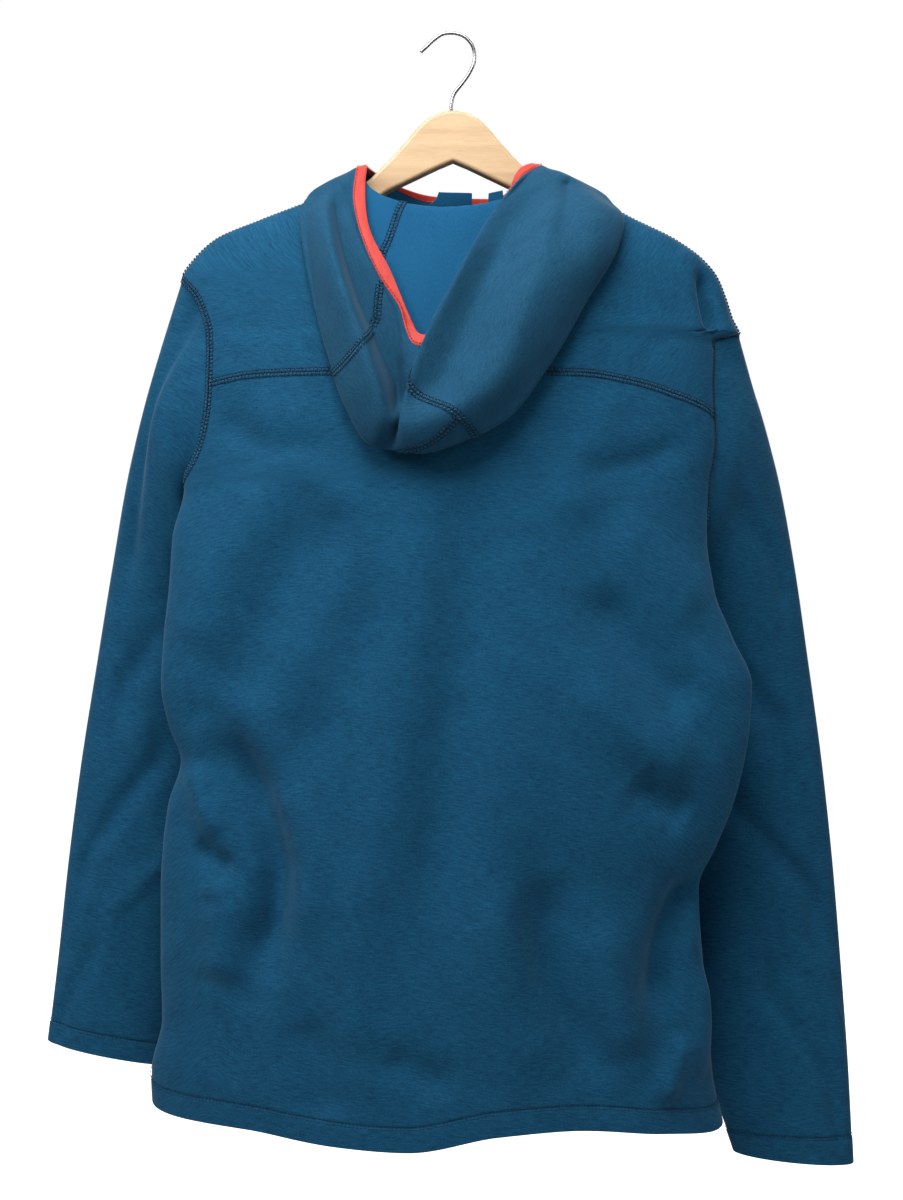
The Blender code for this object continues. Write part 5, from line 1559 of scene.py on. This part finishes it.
outline = arm(1) + [(0, WOOD_UNDER_PEAK)] + arm(-1)[:0:-1]
curve = bpy.data.curves.new("hanger_wood", "CURVE")
curve.dimensions = "2D"
curve.fill_mode = "BOTH"
curve.extrude = (WOOD_THICK / 2 - WOOD_ROUND) * MM
curve.bevel_depth = WOOD_ROUND * MM
curve.bevel_resolution = 4
curve.offset = -WOOD_ROUND * MM
line = curve.splines.new("POLY")
line.points.add(len(outline) - 1)
for point, (x, z) in zip(line.points, outline):
    point.co = (x * MM, z * MM, 0, 1)
line.use_cyclic_u = True
wood_shape = bpy.data.objects.new("wood_shape", curve)
scene.collection.objects.link(wood_shape)
wood_shape.rotation_euler = (math.radians(90), 0, 0)
bpy.context.view_layer.update()
depsgraph = bpy.context.evaluated_depsgraph_get()
wood_mesh = bpy.data.meshes.new_from_object(wood_shape.evaluated_get(depsgraph))
wood_mesh.transform(wood_shape.matrix_world)
bpy.data.objects.remove(wood_shape)
wood_mesh.materials.clear()
wood_mesh.materials.append(beech())
wood_mesh.shade_smooth()
wood_mesh.set_sharp_from_angle(angle=math.radians(35))
wood = bpy.data.objects.new("wooden_arms", wood_mesh)
scene.collection.objects.link(wood)
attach(wood, JACKET)
stand_for(wood, "hanger_wood")


def tube(name, points, radius, sides, finish):
    """A round wire along a line of points, with rounded ends."""
    points = np.asarray(points, dtype=float)
    ahead = unit(np.gradient(points, axis=0))
    side = np.tile(np.array([0.0, 1.0, 0.0]), (len(points), 1))
    up = unit(np.cross(ahead, side))
    share = np.ones(len(points))
    share[[0, -1]] = 0.02
    turn = np.linspace(0, 2 * math.pi, sides, endpoint=False)
    ring = np.cos(turn)[None, :, None] * side[:, None] + np.sin(turn)[None, :, None] * up[:, None]
    grid = points[:, None] + ring * (radius * share)[:, None, None]
    i, j = np.meshgrid(np.arange(len(points) - 1) * sides, np.arange(sides), indexing="ij")
    k = (j + 1) % sides
    faces = np.stack([i + j, i + k, i + sides + k, i + sides + j], axis=-1).reshape(-1, 4)
    return add_mesh(name, grid.reshape(-1, 3) * MM, [faces], (finish,))


def polished_steel():
    made = new_material("polished_wire", 0.24, Metallic=1.0)
    return speckled(*made, (0.20, 0.20, 0.21), (0.36, 0.36, 0.37), 600.0, 2.0, 0.3, 0.7)


hook_foot = WOOD_TOP[0][1] + SEAM_GAP
route = through(np.array(HOOK_ROUTE, dtype=float), np.linspace(0, len(HOOK_ROUTE) - 1, 160))
route[0, 1] = hook_foot
route = route[route[:, 1] > hook_foot - 0.01]
route = np.stack([route[:, 0], 0 * route[:, 0], route[:, 1]], axis=1)
hook = tube("wire_hook", route, WIRE_RADIUS, 20, polished_steel())
stand_for(hook, "hanger_hook")

# ---------------------------------------------------------------- floor and light
# A plain pale floor below the jacket, in soft light from above and from both sides.


def paint(name, colour, glow):
    """Plain matt paint, lifted towards white where the camera sees it, as a lit studio floor is."""
    made, tree, shader = new_material(name, 0.9, Specular_IOR_Level=0.1)
    shader.inputs["Base Color"].default_value = (*colour, 1)
    seen = wire(tree, "LightPath").outputs["Is Camera Ray"]
    lift = wire(tree, "Math", operation="MULTIPLY", i0=seen, i1=glow)
    shader.inputs["Emission Color"].default_value = (1, 1, 1, 1)
    tree.links.new(lift.outputs[0], shader.inputs["Emission Strength"])
    return made


FLOOR_Z = -1.35  # metres, well below the jacket's hem
FLOOR_HALF = 14  # metres from its middle to its sides
corners = [(x * FLOOR_HALF, y * FLOOR_HALF, 0) for x, y in ((-1, -1), (1, -1), (1, 1), (-1, 1))]
floor = bpy.data.objects.new("floor", bpy.data.meshes.new("floor"))
floor.data.from_pydata(corners, [], [(0, 1, 2, 3)])
floor.data.materials.append(paint("floor_paint", (0.5, 0.5, 0.5), 1.0))
floor.location.z = FLOOR_Z
scene.collection.objects.link(floor)


def soft_light(name, place, aim, size, power):
    lamp = bpy.data.lights.new(name, "AREA")
    lamp.shape = "RECTANGLE"
    lamp.size, lamp.size_y = size
    lamp.energy = power
    thing = bpy.data.objects.new(name, lamp)
    thing.location = place
    thing.rotation_euler = (Vector(aim) - Vector(place)).to_track_quat("-Z", "Y").to_euler()
    scene.collection.objects.link(thing)


soft_light("ceiling_light", (-0.20, -0.78, 0.66), (0, 0, -0.38), (1.0, 0.7), 27)
soft_light("window_light", (-2.3, -1.5, 1.1), (0, 0, -0.5), (0.9, 0.9), 56)
soft_light("room_light", (1.9, -1.3, 0.5), (0.2, 0, -0.5), (1.0, 1.0), 14)
soft_light("top_light", (0.0, 0.5, 1.9), (0, 0, -0.4), (1.8, 1.8), 12)
soft_light("front_light", (0.5, 2.2, 0.8), (0, 0, -0.5), (1.6, 1.6), 44)

world = bpy.data.worlds.new("studio")
scene.world = world
world.use_nodes = True
studio = world.node_tree
sky = studio.nodes["Background"]
seen = wire(studio, "LightPath").outputs["Is Camera Ray"]
strength = wire(studio, "MapRange", Value=seen, To_Min=0.15, To_Max=1.0)
sky.inputs["Color"].default_value = (1, 1, 1, 1)
studio.links.new(strength.outputs[0], sky.inputs["Strength"])
scene.view_settings.view_transform = "Standard"
